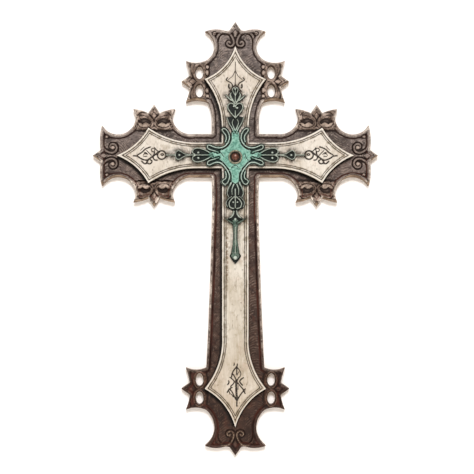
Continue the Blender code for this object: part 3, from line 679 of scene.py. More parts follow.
def with_pocket(vertices, solid, first, rear, pocket):
    """Adds the walls, ledge and floor of the hanging slot behind its hole in the back."""
    keyhole, wide = pocket
    count = len(keyhole)
    mouth = [first + int(np.argmin(np.hypot(*(rear - point).T))) for point in keyhole]
    rows = [mouth]
    for loop, depth in ((keyhole, HANGER_LIP), (wide, HANGER_LIP), (wide, HANGER_DEPTH)):
        rows.append(list(range(len(vertices), len(vertices) + count)))
        vertices = np.vstack([vertices, [(x, -depth, z) for x, z in loop]])
    for upper, lower in zip(rows, rows[1:]):
        for i in range(count):
            k = (i + 1) % count
            solid.append((upper[i], upper[k], lower[k], lower[i]))
    solid.append(rows[-1])
    return vertices, solid


# Shapes of the board

def end_corners(reach, direction, inset, bar_half):
    """Right half of the top or foot end, from its tip to where the bar begins."""
    def at(across, depth):
        return across, direction * (reach - depth)

    leaf_out = END_FINIAL_REACH - LEAF_DROP
    notch_out = END_FINIAL_REACH - KNOB_RISE
    near, far = inset - FINIAL_HALF_SPAN, inset + FINIAL_HALF_SPAN
    return [
        (*at(0.0, 0.0), 0.0),
        (*at(KNOB_HALF, KNOB_RISE), 0.0),
        (*at(KNOB_HALF + KNOB_SHOULDER, KNOB_RISE + WING_DROP / 2), 0.0),
        (*at(WING_HALF, KNOB_RISE + WING_DROP), WING_BOW),
        (*at(END_FINIAL_REACH - LEAF_ROOT_DROP, near), -END_BITE),
        (*at(leaf_out, near), -LEAF_SAG),
        (*at(notch_out, inset - KNOB_HALF), -LEAF_BOW),
        (*at(END_FINIAL_REACH, inset), 0.0),
        (*at(notch_out, inset + KNOB_HALF), 0.0),
        (*at(leaf_out, far), -LEAF_BOW),
        (*at(bar_half, far), -LEAF_SAG),
    ]


def arm_corners():
    """Upper half of the right arm, from the crossing's corner to the arm's tip."""
    middle = SIDE_REACH - SIDE_FINIAL_INSET
    leaf = ARM_FINIAL_REACH - LEAF_DROP
    notch = ARM_FINIAL_REACH - KNOB_RISE
    waist = ARM_FINIAL_REACH - LEAF_WAIST_DROP
    shoulder = SIDE_REACH - KNOB_RISE
    return [
        (STUB_HALF, ARM_HALF, 0.0),
        (STUB_HALF + ARM_STRAIGHT, ARM_HALF, 0.0),
        (middle - LEAF_WAIST_HALF, waist, -CROTCH_BITE),
        (middle - FINIAL_HALF_SPAN, leaf, -LEAF_BOW),
        (middle - KNOB_HALF, notch, LEAF_BOW),
        (middle, ARM_FINIAL_REACH, 0.0),
        (middle + KNOB_HALF, notch, 0.0),
        (middle + FINIAL_HALF_SPAN, leaf, LEAF_BOW),
        (middle + LEAF_WAIST_HALF, waist, -LEAF_BOW),
        (shoulder - WING_DROP, WING_HALF, -ARM_BITE),
        (shoulder, KNOB_HALF, ARM_WING_BOW),
        (SIDE_REACH, 0.0, 0.0),
    ]


def board_outline():
    top = end_corners(TOP_REACH, 1, TOP_FINIAL_INSET, STUB_HEAD_HALF)
    foot = end_corners(FOOT_REACH, -1, FOOT_FINIAL_INSET, SHAFT_FOOT_HALF)
    upper = arm_corners()
    half = top + [(STUB_HALF, ARM_HALF + STUB_STRAIGHT, -LEAF_SAG / 2)] + upper
    half += [(x, -z, bow) for x, z, bow in backwards(upper)[1:]]
    half += [(SHAFT_HALF, -ARM_HALF - SHAFT_STRAIGHT, 0.0)]
    run_in = backwards(foot)
    half += [(*run_in[0][:2], -LEAF_BOW)] + run_in[1:]
    return closed_from_half(trace(half))


def finial_frames():
    """Each finial's middle on the bar's axis, its outward direction, its reach and whether it is pierced."""
    arm_middle = SIDE_REACH - SIDE_FINIAL_INSET
    frames = []
    for side in (1, -1):
        frames.append(((0.0, TOP_REACH - TOP_FINIAL_INSET), (side, 0), END_FINIAL_REACH, True))
        frames.append(((0.0, FOOT_FINIAL_INSET - FOOT_REACH), (side, 0), END_FINIAL_REACH, True))
        for up in (1, -1):
            frames.append(((side * arm_middle, 0.0), (0, up), ARM_FINIAL_REACH, False))
    return frames


def on_finial(finial, spots):
    """Places points given as (along the bar, distance in from the tip)."""
    (x, z), (dx, dz), reach, _ = finial
    along, drop = np.array(spots, float).T
    return np.stack([x + dx * (reach - drop) + abs(dz) * along,
                     z + dz * (reach - drop) + abs(dx) * along], axis=1)


def eye_rings(finial, grown=0.0):
    """The two eyes of a finial, as (centre, half across, half up), grown by a margin."""
    pierced = finial[3]
    spacing, drop = (EYE_SPACING, EYE_DROP) if pierced else (SOCKET_SPACING, SOCKET_DROP)
    half_along = (EYE_HALF_HEIGHT if pierced else SOCKET_HALF_LENGTH) + grown
    half_out = (EYE_HALF_WIDTH if pierced else SOCKET_HALF_HEIGHT) + grown
    sizes = (half_out, half_along) if finial[1][0] else (half_along, half_out)
    return [(on_finial(finial, [(sign * spacing / 2, drop)])[0], *sizes) for sign in (-1, 1)]


def knobs():
    """The middle of each pointed knob and the direction of its tip."""
    found = [((0.0, TOP_REACH - KNOB_RISE), (0, 1)), ((0.0, KNOB_RISE - FOOT_REACH), (0, -1))]
    for side in (1, -1):
        found.append(((side * (SIDE_REACH - KNOB_RISE), 0.0), (side, 0)))
    for finial in finial_frames():
        found.append((tuple(on_finial(finial, [(0.0, KNOB_RISE)])[0]), finial[1]))
    return found


def end_scroll():
    """The looped scroll of the top and foot ends, as (across, depth from the tip) in shares of the wing."""
    return [(0.625, 0.86), (0.63, 0.68), (0.59, 0.49), (0.485, 0.365), (0.35, 0.32), (0.22, 0.36),
            (0.135, 0.45), (0.075, 0.56), (0.05, 0.68), (0.085, 0.77), (0.171, 0.80), (0.255, 0.755),
            (0.262, 0.68), (0.205, 0.645), (0.172, 0.69)]


def arm_scroll():
    """The spiral of a side end, as (across, depth from the tip) in shares of the wing."""
    return [(0.45, 0.31), (0.30, 0.33), (0.17, 0.44), (0.10, 0.60), (0.13, 0.74), (0.26, 0.80),
            (0.37, 0.74), (0.38, 0.63), (0.29, 0.59), (0.24, 0.66)]


def board_scrolls():
    """The scroll ridges, and the ditches that set each one off: inside its bow, then round its curl."""
    ridges, ditches = [], []
    for side in (1, -1):
        end = WING_HALF * np.array(end_scroll()) * (side, 1)
        arm = WING_HALF * np.array(arm_scroll())[:, ::-1]
        placed = [(end * (1, -1) + (0.0, TOP_REACH), side, END_BOW_SHARE),
                  (end - (0.0, FOOT_REACH), -side, END_BOW_SHARE)]
        for up in (1, -1):
            placed.append(((arm * (-1, up) + (SIDE_REACH, 0.0)) * (side, 1), -side * up, ARM_BOW_SHARE))
        for knots, turn, bow_share in placed:
            path = smooth(knots)
            bend = round(len(path) * bow_share)
            ridges.append(path)
            ditches.append(beside(path[:bend], -turn * SCROLL_DITCH))
            ditches.append(beside(path[bend - 4:-3], turn * SCROLL_DITCH))
    return ridges, ditches


def eye_bands(finial):
    """The middles of the raised bands round a finial's eyes."""
    return [ellipse(*ring, CURVE_STEP) for ring in eye_rings(finial, EYE_BAND_REACH)]


def finial_grooves(finial):
    """Cut lines of a finial, each with its half width and depth."""
    if finial[3]:
        lines = [
            ([(9.6, 8.0), (6.4, 10.2), (3.2, 12.8), (0.2, 16.0)], 1.0, 2.0),
            ([(21.6, 11.6), (17.0, 10.8), (10.7, 12.2), (5.4, 14.8), (2.1, 16.8)], 1.3, 1.9),
            ([(22.4, 15.4), (20.6, 16.4)], 0.9, 0.7),
        ]
    else:
        lines = [
            ([(8.2, 11.6), (12.6, 9.9), (17.4, 10.2), (20.8, 13.4)], 0.95, 1.6),
            ([(8.8, 9.6), (4.8, 13.6), (1.4, 17.2), (0.4, 22.0)], 0.7, 1.2),
            ([(22.2, 16.4), (22.8, 18.4)], 0.9, 1.6),
            ([(0.4, 30.4), (4.0, 32.4), (10.0, 31.4), (17.0, 32.8), (23.6, 31.4)], 0.85, 2.0),
        ]
    found = []
    for side in (1, -1):
        for spots, width, depth in lines:
            knots = [(side * along, drop) for along, drop in spots]
            found.append((smooth(on_finial(finial, knots)), width, depth))
    return found


def beads():
    """Small round beads, as (centre, half width, half height, rise)."""
    found = []
    for finial in finial_frames():
        spots = [(20.6, 27.4, 1.9, 1.9, 2.0)]
        if finial[3]:
            spots = [(11.0, 32.2, 3.3, 2.1, 2.4), (18.4, 32.6, 2.5, 2.1, 1.2)]
        if finial[0][1] < FOOT_END:
            spots = []
        for along, drop, long, wide, rise in spots:
            half_x, half_z = (wide, long) if finial[1][0] else (long, wide)
            for side in (1, -1):
                found.append((on_finial(finial, [(side * along, drop)])[0], half_x, half_z, rise))
    for side in (1, -1):
        found.append((np.array((side * 26.4, TOP_REACH - 14.6)), 2.0, 2.2, 2.2))
        found.append((np.array((side * 27.0, 15.6 - FOOT_REACH)), 1.8, 1.8, 0.9))
        for up in (1, -1):
            found.append((np.array((side * (SIDE_REACH - 18.0), up * 24.0)), 2.2, 1.6, 2.0))
            found.append((np.array((side * (SIDE_REACH - 25.6), up * 10.4)), 2.4, 2.4, 1.8))
    return found


def gouge_strokes(points):
    """Rows of pale slanting strokes that the gouge left on the field, 1 on a stroke and 0 beside it."""
    side = np.sign(points[:, 0])
    across = np.abs(points[:, 0]) - STROKE_AXIS
    bow = side * across * STROKE_SLANT - STROKE_BOW * across ** 2
    phase = (points[:, 1] - bow + uneven(points, STROKE_WAVER)) / STROKE_SPACING
    stroke = clamped((np.sin(2 * math.pi * phase) - STROKE_GAP) / (1.0 - STROKE_GAP))
    return stroke * clamped(uneven(points, STROKE_PATCHES) + 0.5)


def tool_marks(points, height, field):
    """Short slanting cuts of the gouge all over the lowered field."""
    draw = np.random.default_rng(11)
    low, high = points.min(axis=0), points.max(axis=0)
    for _ in range(MARK_COUNT):
        centre = draw.uniform(low, high)
        slant = draw.normal(*MARK_SLANT)
        length, width = draw.uniform(*MARK_LENGTH), draw.uniform(*MARK_WIDTH)
        depth = draw.uniform(*MARK_DEPTH)
        near = np.flatnonzero((np.abs(points - centre) < length).all(axis=1) & field)
        if not len(near):
            continue
        off = points[near] - centre
        along = off[:, 0] * math.cos(slant) + off[:, 1] * math.sin(slant)
        across = off[:, 1] * math.cos(slant) - off[:, 0] * math.sin(slant)
        height[near] += depth * np.exp(-(along / length * 2.2) ** 2 - (across / width) ** 2)
    return height


def board_height(points, outline, holes, scrolls, seat):
    """How far the carved front stands from the back."""
    reach = RIM_RUN[-1] + 2.0
    edge = gap(points, [outline] + holes, reach, closed=True)
    outer = gap(points, [outline], reach, closed=True)
    waver = edge + uneven(points, RIM_WAVER) * clamped(edge / 2.0)
    rim = np.interp(waver, RIM_RUN, RIM_RISE)
    leafy = np.zeros(len(points))
    for place, direction, tip, _ in finial_frames():
        out, along = seen_along(points, place, direction)
        wide = clamped((FINIAL_HALF_SPAN - np.abs(along)) / LEAF_SIDE_FADE)
        leafy = np.maximum(leafy, wide * clamped((out - tip + LEAF_ROOT_DROP + 1.0) / LEAF_ROOT_FADE))
    dished = LEAF_FACE + LEAF_LIP * bell(outer, LEAF_LIP_WIDTH) + uneven(points, LEAF_LUMPS)
    height = np.where(leafy > 0, np.maximum(rim * (1 - leafy) + leafy * dished, FIELD), rim)
    field = (edge > RIM_RUN[-2]) & (leafy < 0.5)
    height = tool_marks(points, height + uneven(points, FIELD_LUMPS) * field, field)
    for finial in finial_frames():
        height = finial_relief(points, height, finial)
    ridges, ditches = scrolls
    near = gap(points, ridges, 2 * SCROLL_HALF_WIDTH)
    ridge = clamped(1.0 - (near / SCROLL_HALF_WIDTH) ** 2)
    ditch = bell(gap(points, ditches, 3.0), DITCH_HALF_WIDTH)
    height = np.maximum(height - DITCH_DEPTH * ditch * (ridge <= 0), FIELD * LOWEST_SHARE)
    height = np.maximum(height, (FIELD + SCROLL_RISE * ridge ** SCROLL_ROUNDNESS) * (ridge > 0))
    height = knob_relief(points, height)
    for centre, half_x, half_z, rise in beads():
        near = bump_on(points, centre, half_x, half_z)
        around = bump_on(points, centre, half_x + BEAD_MOAT, half_z + BEAD_MOAT)
        height = np.where((around > 0) & (near <= 0), height - BEAD_MOAT_DEPTH, height)
        height = np.maximum(height, np.where(near > 0, FIELD + BEAD_FOOT + rise * np.sqrt(near), 0.0))
    height = np.minimum(height, KNOB_TOP)
    seated = inside(points, seat) | (gap(points, [seat], 0.1, True) < 0.05)
    return np.where(seated, np.minimum(height, FIELD), height)


def finial_relief(points, height, finial):
    """Adds the bands round a finial's eyes, its cut lines and its blind eyes."""
    for band in eye_bands(finial):
        near = clamped(1.0 - (gap(points, [band], EYE_BAND_HALF_WIDTH, True) / EYE_BAND_HALF_WIDTH) ** 2)
        height = np.maximum(height, near ** EYE_BAND_ROUNDNESS * (EYE_BAND_TOP - FIELD) + FIELD)
    for path, width, depth in finial_grooves(finial):
        height -= depth * np.minimum(1.0, nearness(points, [path], width) * GROOVE_STEEPNESS)
    if not finial[3]:
        for ring in eye_rings(finial):
            height = socket(points, height, finial, ring)
    return height


def socket_parts(points, finial, ring):
    """Shares of a blind eye's wall and open part, how far outwards a point is and where the lobes end."""
    (x, z), direction, _, _ = finial
    centre, half_x, half_z = ring
    away = np.sqrt(((points[:, 0] - centre[0]) / half_x) ** 2 + ((points[:, 1] - centre[1]) / half_z) ** 2)
    out, along = seen_along(points, centre, direction)
    out = out / SOCKET_HALF_HEIGHT
    outwards = math.copysign(1.0, (centre[0] - x) * abs(direction[1]) + (centre[1] - z) * abs(direction[0]))
    wave = np.abs(np.sin(math.pi * (outwards * along / SOCKET_HALF_LENGTH - LOBE_SHIFT)))
    lobed = LOBE_HANG * wave - LOBE_ROOT
    return clamped((1.0 - away) / SOCKET_WALL), clamped((out - lobed) / LOBE_EDGE), out, lobed


def socket(points, height, finial, ring):
    """A blind eye under an arched brow: its floor drops towards the tip, and two worn lobes hang into it."""
    wall, open_part, out, lobed = socket_parts(points, finial, ring)
    slope = clamped((out + 0.5) / 1.3)
    bowl = BOARD_THICKNESS - wall * open_part * (SOCKET_SILL + (SOCKET_DEPTH - SOCKET_SILL) * slope)
    lip = wall * (1.0 - open_part)
    bowl = bowl - lip * (1.1 - 0.9 * clamped((out - lobed + 0.7) / 0.7))
    return np.where(wall > 0.0, bowl, height)


def knob_relief(points, height):
    """Pointed facets of the knobs, with slanting cuts on one side towards the tip."""
    for (x, z), (dx, dz) in knobs():
        side = (points[:, 0] - x) * dz - (points[:, 1] - z) * dx
        along = (points[:, 0] - x) * dx + (points[:, 1] - z) * dz
        away = np.abs(side) / KNOB_HALF + np.abs(along) / KNOB_RISE
        facet = KNOB_EDGE + (KNOB_TOP - KNOB_EDGE) * clamped(KNOB_STEEPNESS * (1.0 - away))
        slant = side / KNOB_HALF + along / KNOB_RISE
        cuts = sum(bell(slant - place, KNOB_CUT_WIDTH) for place in KNOB_CUTS)
        facet -= KNOB_CUT_DEPTH * cuts * (side > KNOB_CUT_END) * clamped((1.0 - away) * KNOB_CUT_FADE)
        facet -= bell(away - KNOB_COLLAR, KNOB_COLLAR_WIDTH) * (along < 0.0)
        height = np.where(away <= 1.001, facet, height)
    return height


def board_guides(outline, holes, scrolls, seat):
    """Edges that the mesh follows: along the rim, round the eyes, on the scrolls and in the cut lines."""
    fences = [outline] + holes
    guides = [ring_edges(seat)]
    guides += [offset_edges(outline, width, fences) for width in GUIDES_ALONG_RIM]
    guides += [offset_edges(hole, width, fences) for hole in holes for width in GUIDES_ROUND_EYES]
    ridges, ditches = scrolls
    guides += [path_edges(beside(path, width)) for path in ridges for width in GUIDES_ON_SCROLLS]
    guides += [path_edges(path) for path in ditches]
    return guides + [path_edges(path) for finial in finial_frames() for path, _, _ in finial_grooves(finial)]


def rim_marks(points, outline, ridges):
    """Where the rim's worn edge and grooves run, the gouge's strokes beside them, the painted highlights on
    the foot end's scrolls and the lines on its eye bands.
    """
    edge = gap(points, [outline], 8.0, True)
    low = clamped((SHAFT_START - points[:, 1]) / SHAFT_FADE)
    near_axis = clamped((FOOT_SCROLL_HALF - np.abs(points[:, 0])) / 5.0)
    at_foot = points[:, 1] < FOOT_END
    bands = [band for finial in finial_frames() if finial[3] for band in eye_bands(finial)]
    return {
        "edge_line": clamped(1.0 - edge / WORN_EDGE),
        "groove": bell(edge - GROOVE_PLACE, GROOVE_HALF_WIDTH),
        "wide_groove": bell(edge - WIDE_GROOVE_PLACE, 0.7 + 0.8 * low) * low,
        "stroke": gouge_strokes(points) * (edge > STROKE_START),
        "scroll_highlight": bell(gap(points, ridges, 2.0), SCROLL_HIGHLIGHT_HALF_WIDTH) * near_axis * at_foot,
        "eye_line": bell(gap(points, bands, 2.0, True), EYE_LINE_HALF_WIDTH) * at_foot,
    }


def end_marks(points):
    """How far each point belongs to the leaves, to a bead or to a lobe of a blind eye, which is painted paler
    as wear and as light.
    """
    leaf, bead, lobe = np.zeros((3, len(points)))
    for finial in finial_frames():
        place, direction, tip, pierced = finial
        out, along = seen_along(points, place, direction)
        within_leaves = clamped((out - tip + LEAF_TONE_DROP) / 3.0) * (np.abs(along) < LEAF_TONE_HALF)
        leaf = np.maximum(leaf, within_leaves)
        for ring in eye_rings(finial) if not pierced else ():
            wall, open_part, _, _ = socket_parts(points, finial, ring)
            lobe = np.maximum(lobe, wall * (1.0 - open_part))
    for centre, half_x, half_z, _ in beads():
        bead = np.maximum(bead, np.sqrt(bump_on(points, centre, half_x, half_z)))
    return {"leaf": leaf, "bead": bead, "lobe": lobe}


def shadow_marks(points, outline, panel):
    """Where the panel's soft shadow is painted on the board, and the board's edges that face down, along
    which shade is painted.
    """
    beyond = ~inside(points, panel)
    shade = np.zeros(len(points))
    for lean in SHADE_LEANS:
        covered = [inside(points + (lean * step, step), panel) * beyond for step in SHADE_STEPS]
        shade = np.maximum(shade, np.mean(covered, axis=0))
    below = np.zeros(len(points))
    for step in UNDERSIDE_STEPS:
        reached = [inside(points + (lean * step, -step), outline) for lean in UNDERSIDE_LEANS]
        below += ~np.any(reached, axis=0) / len(UNDERSIDE_STEPS)
    return {"shade": shade, "underside_shade": below * (points[:, 1] > UNDERSIDE_END)}


def make_board():
    outline = board_outline()
    holes = [ellipse(*ring) for finial in finial_frames() if finial[3] for ring in eye_rings(finial)]
    scrolls = board_scrolls()
    panel = panel_outline()
    seat = beside(panel, -SEAT_CLEARANCE, closed=True)

    def height(points):
        return board_height(points, outline, holes, scrolls, seat)

    board, points, worn = relief("carved_board", outline, holes, board_guides(outline, holes, scrolls, seat),
                                 BOARD_GRID, height, 0.0, hidden=beside(panel, HIDDEN_INSET, closed=True),
                                 pocket=pocket_loops())
    paint(board, **worn, **rim_marks(points, outline, scrolls[0]), **end_marks(points),
          **shadow_marks(points, outline, panel))
    return board


# Shapes of the panel

def panel_outline():
    top_middle = TOP_REACH - TOP_FINIAL_INSET + TOP_LOZENGE_SHIFT
    foot_middle = FOOT_FINIAL_INSET - FOOT_REACH + FOOT_LOZENGE_SHIFT
    side_middle = SIDE_REACH - SIDE_FINIAL_INSET + SIDE_LOZENGE_SHIFT
    stub, shaft, arm_half = STUB_HALF - SHAFT_STRIP, SHAFT_HALF - SHAFT_STRIP, ARM_HALF - ARM_STRIP
    lozenge = END_FINIAL_REACH - LOZENGE_INSET
    arm = [
        (stub, arm_half, 0.0),
        (side_middle - ARM_LOZENGE_RUN, arm_half, 0.0),
        (side_middle, ARM_FINIAL_REACH - LOZENGE_INSET, -ARM_LOZENGE_BOW),
        (SIDE_REACH - PANEL_SIDE_INSET, 0.0, -ARM_LOZENGE_BOW),
    ]
    half = [
        (0.0, TOP_REACH - PANEL_TOP_INSET, 0.0),
        (lozenge, top_middle, -LOZENGE_BOW),
        (stub, top_middle - LOZENGE_RUN, -LOZENGE_BOW),
    ]
    half += arm
    half += [(x, -z, bow) for x, z, bow in backwards(arm)[1:]]
    half += [
        (shaft, -arm_half - LOZENGE_BOW, 0.0),
        (shaft, foot_middle + LOZENGE_RUN, 0.0),
        (lozenge, foot_middle, -LOZENGE_BOW),
        (0.0, PANEL_FOOT_INSET - FOOT_REACH, -LOZENGE_BOW),
    ]
    return closed_from_half(trace(half))


def top_motif():
    """Right half of the drawing above the cast cross, each line with its half width."""
    return [
        ([(9.8, 96.4), (11.4, 94.0), (8.5, 92.0), (5.4, 90.1), (3.4, 87.0), (4.1, 83.3), (7.2, 80.1)], 0.8),
        ([(0.0, 116.0), (0.0, 100.0), (0.0, 86.0)], 0.45),
        ([(0.4, 105.0), (3.4, 98.8), (8.4, 94.6)], 0.4),
        ([(0.8, 86.8), (2.6, 84.0), (1.2, 81.0), (2.8, 78.0)], 0.8),
        ([(8.0, 87.6), (8.4, 85.8), (7.8, 84.0)], 1.1),
        ([(6.8, 80.4), (5.6, 77.6), (8.0, 75.4)], 0.9),
    ]


def side_motif():
    """The drawing beyond a side arm of the cast, as (outwards from its ring, up), with its half widths."""
    return [
        ([(2.9, 4.1), (6.6, 1.6), (9.1, -0.3), (12.9, -2.8), (16.6, -5.9), (18.5, -9.0)], 0.85),
        ([(34.8, -0.9), (30.4, -1.5), (26.6, -4.0), (22.3, -5.9), (19.2, -6.4), (16.6, -5.9)], 0.8),
        ([(29.8, 0.4), (25.4, 2.9), (20.4, 7.3), (16.6, 9.1), (14.1, 10.0)], 0.75),
        ([(26.0, 6.0), (22.3, 9.8)], 0.35),
        ([(18.5, 5.4), (15.4, 2.3), (12.9, -0.3)], 0.5),
        ([(9.1, 3.5), (9.8, 0.4), (11.0, -2.1), (9.1, -5.9), (6.3, -6.4)], 0.75),
        ([(18.5, -9.0), (16.0, -10.9), (13.1, -10.0), (12.1, -7.1), (13.8, -6.3)], 0.75),
        ([(20.6, 2.4), (19.6, 1.8)], 1.0),
        ([(22.6, 0.2), (20.4, 3.2), (17.3, 1.0)], 0.45),
        ([(22.3, -1.9), (18.5, -1.4)], 0.5),
        ([(24.8, -7.8), (21.6, -10.6), (19.1, -10.6)], 0.8),
        ([(8.6, 8.8), (6.4, 6.2), (4.6, 4.6)], 0.6),
    ]


def foot_motif():
    """The leafy drawing near the foot, drawn by a free hand, with its half widths."""
    return [
        ([(2.5, -260.3), (2.0, -264.9), (1.6, -273.0)], 0.8),
        ([(-1.4, -259.6), (-1.5, -261.4)], 0.75),
        ([(1.5, -263.6), (-1.9, -267.8), (-3.9, -271.8), (-4.6, -275.9)], 0.85),
        ([(2.5, -264.3), (5.3, -268.0), (6.9, -272.1), (5.9, -275.5)], 0.6),
        ([(4.1, -269.9), (2.1, -274.3)], 0.4),
        ([(-2.5, -273.0), (-0.4, -276.8), (1.6, -281.1)], 0.85),
        ([(4.1, -277.4), (1.6, -281.1)], 0.7),
        ([(-6.3, -276.8), (-3.8, -278.8), (-1.4, -281.5), (-2.4, -284.5), (-5.9, -288.0)], 0.75),
        ([(-8.3, -280.9), (-7.9, -283.0), (-9.1, -285.3)], 0.9),
        ([(10.0, -277.1), (6.6, -279.6), (5.6, -282.4), (8.8, -286.3)], 0.9),
        ([(2.5, -283.0), (5.3, -286.3), (8.4, -290.0), (10.8, -293.0)], 0.8),
        ([(12.4, -290.9), (10.8, -293.0), (11.9, -296.3)], 0.85),
        ([(10.5, -293.3), (7.5, -296.8), (5.0, -300.5), (2.6, -304.9)], 0.8),
        ([(1.3, -281.1), (1.1, -285.5), (1.3, -294.3), (2.0, -303.0)], 1.4),
        ([(2.0, -303.0), (1.8, -312.4)], 0.9),
        ([(-4.4, -289.3), (-7.5, -291.3), (-9.9, -295.0)], 0.9),
        ([(-6.4, -291.8), (-3.6, -295.5), (-1.6, -299.9), (0.8, -304.3)], 0.8),
        ([(-7.6, -294.3), (-6.6, -297.0)], 0.7),
        ([(-5.0, -297.4), (-2.6, -301.0)], 0.55),
        ([(3.6, -286.8), (3.4, -291.8)], 0.4),
    ]


def motif_lines():
    """Every drawn line of the panel, as (path, half width)."""
    found = [(smooth(knots), width * LINE_BOLDNESS) for knots, width in foot_motif()]
    for side in (1, -1):
        for knots, width in top_motif():
            found.append((smooth([(side * x, z) for x, z in knots]), width * LINE_BOLDNESS))
        ring = (side * MOTIF_RING_PLACE, MOTIF_RING_RISE)
        found.append((ellipse(ring, MOTIF_RING, MOTIF_RING, CURVE_STEP), MOTIF_RING_LINE))
        found.append((ellipse((ring[0] - side * 0.6, ring[1] + 0.6), 1.6, 1.1, CURVE_STEP / 2), 0.9))
        found.append((ellipse((ring[0] + side * 10.8, ring[1] + 6.3), 2.2, 2.2, CURVE_STEP / 2), 0.8))
        for knots, width in side_motif():
            knots = [(ring[0] + side * u, ring[1] + v) for u, v in knots]
            found.append((smooth(knots), width * SIDE_LINE_BOLDNESS))
    return found


def drawing_on(points, lines):
    """1 in the drawn lines of the panel, and 0 beside them."""
    shares = [np.minimum(1.0, nearness(points, [path], width) * LINE_STEEPNESS) for path, width in lines]
    return np.max(shares, axis=0)


def make_panel():
    outline = panel_outline()
    lines = motif_lines()
    guides = [offset_edges(outline, width, [outline]) for width in PANEL_RUN[1:]]
    for path, width in lines:
        guides += [path_edges(path), path_edges(beside(path, width)), path_edges(beside(path, -width))]

    def height(points):
        edge = gap(points, [outline], 8.0, True)
        wavy = edge + uneven(points, PANEL_WAVER) * (edge > 1.4)
        rise = PANEL_FACE + np.interp(wavy, PANEL_RUN, PANEL_RISE)
        rise += uneven(points, PANEL_LUMPS) * (edge > 1.3)
        return np.minimum(rise - DRAWING_DEPTH * drawing_on(points, lines), PANEL_FACE + PANEL_LIP)

    panel, points, _ = relief("painted_panel", outline, [], guides, PANEL_GRID, height, PANEL_BACK)
    edge = gap(points, [outline], 12.0, True)
    cast = [path for path, _ in cast_strands()] + [cast_body()]
    paint(panel, drawing=drawing_on(points, lines),
          border=np.max([bell(edge - place, width) for place, width in BORDER_LINES], axis=0),
          side_edge=clamped(1.0 - edge / PANEL_SIDE_TONE), grime=nearness(points, cast, GRIME_AND_SHADE_REACH))
    return panel


# Shapes of the verdigris cross

def dropped(points):
    """Lowers what is near the upright axis: the stud sits a little below the axis of the side arms."""
    share = clamped((np.abs(points[:, 0]) / CAST_GRID - 0.9) / 1.2)
    lowered = CAST_DROP * (1.0 - share * share * (3.0 - 2.0 * share))
    return points - np.stack([np.zeros(len(points)), lowered], axis=1)


def drawn(knots, side=1, up=1):
    """Places points of the ornament's drawing, which are counted in squares of its grid from the stud."""
    return dropped(np.array(knots) * (side * CAST_GRID, up * CAST_GRID))


def scoop_strand():
    """The upper right scoop's strand: round one lobe's end, along the body and round the other's."""
    return [(1.22, 1.86), (1.12, 2.32), (1.20, 2.70), (1.47, 2.97), (1.63, 3.24), (1.36, 3.46), (1.02, 3.26),
            (0.79, 2.83), (0.73, 2.33), (0.89, 1.83), (1.28, 1.30), (1.75, 0.97), (2.29, 0.90), (2.79, 1.05),
            (3.17, 1.22), (3.44, 1.14), (3.42, 0.85), (3.06, 0.64), (2.60, 0.51), (2.10, 0.34)]


def lobes():
    """The two lobes that the strand goes round."""
    strand = scoop_strand()
    return [strand[:10], strand[11:]]


def upright_strands():
    """The right-hand strands of the top and foot arms, each with its widths in shares of a plain strand."""
    plain = (1.0, 1.0)
    return [
        ([(0.14, 3.00), (0.40, 3.58), (0.78, 4.20), (1.03, 4.86)], (1.2, 0.9, 0.8)),
        ([(0.04, 3.30), (0.24, 3.78), (0.39, 4.26), (0.24, 4.68)], (1.2, 0.9, 0.7)),
        ([(0.04, 4.90), (0.45, 5.35), (0.82, 5.85), (0.94, 6.20), (0.82, 6.54), (0.50, 6.67), (0.20, 6.55),
          (0.05, 6.32)], plain),
        ([(0.04, 6.62), (0.36, 7.10), (0.62, 7.62), (0.50, 8.02)], (1.0, 1.5, 1.6, 0.5)),
        ([(0.50, 7.02), (0.84, 7.32), (1.16, 7.62)], (0.9, 1.2, 0.8)),
        ([(0.03, 7.70), (0.22, 8.00), (0.34, 8.36), (0.18, 8.62), (0.03, 8.40)], (0.8, 0.8)),
        ([(0.50, -3.20), (0.86, -3.90), (1.00, -4.50), (0.80, -5.00)], (1.2, 0.9, 0.7)),
        ([(0.20, -3.40), (0.42, -4.05), (0.38, -4.70)], (1.2, 0.9, 0.7)),
        ([(0.16, -4.95), (0.58, -5.36), (0.78, -5.80), (0.62, -6.24), (0.20, -6.40)], plain),
        ([(0.40, -4.86), (0.86, -5.20), (1.13, -5.70), (0.98, -6.20)], (0.6, 0.7)),
        ([(0.16, -6.70), (0.26, -7.10), (0.52, -7.46), (0.88, -7.66)], (1.0, 1.4, 1.3, 0.5)),
        ([(0.30, -8.20), (0.74, -7.96), (1.28, -7.66)], (1.4, 1.1, 0.4)),
    ]


def middle_strands():
    """The strands on the upright axis, the hilt's grip and the rib on it last."""
    return [
        ([(0.0, 5.05), (0.0, 5.75)], (1.0, 0.8)),
        ([(0.0, 6.08), (0.0, 6.46)], (0.8, 0.8)),
        ([(0.0, 6.9), (0.0, 8.0), (0.0, 8.8)], (1.0, 0.8, 0.4)),
        ([(0.0, -4.0), (0.0, -6.3)], (1.1, 1.0)),
        ([(0.0, -8.1), (0.0, -8.8), (0.0, -9.6), (0.0, -10.5), (0.0, -11.2), (0.0, -11.8), (0.0, -12.15)],
         (4.2, 3.0, 2.6, 2.6, 3.2, 4.4, 5.3)),
        ([(0.0, -8.7), (0.0, -11.9)], GRIP_RIB),
    ]


def side_strands():
    """The strands of a side arm: half of its heart, half of its knot, then its stem."""
    heart = [(2.90, 0.12), (3.50, 0.48), (4.10, 0.74), (4.70, 0.86), (5.20, 0.68), (5.30, 0.30), (5.02, 0.08)]
    knot = [(5.60, 0.02), (6.25, 0.13), (6.66, 0.37), (7.00, 0.54), (7.32, 0.42), (7.46, 0.02)]
    return [(heart, (0.9, 0.9)), (knot, (0.8, 0.8)), ([(3.0, 0.0), (4.4, 0.0), (5.7, 0.0)], (0.9, 0.8)),
            ([(7.4, 0.0), (8.6, 0.0)], (0.8, 0.8))]


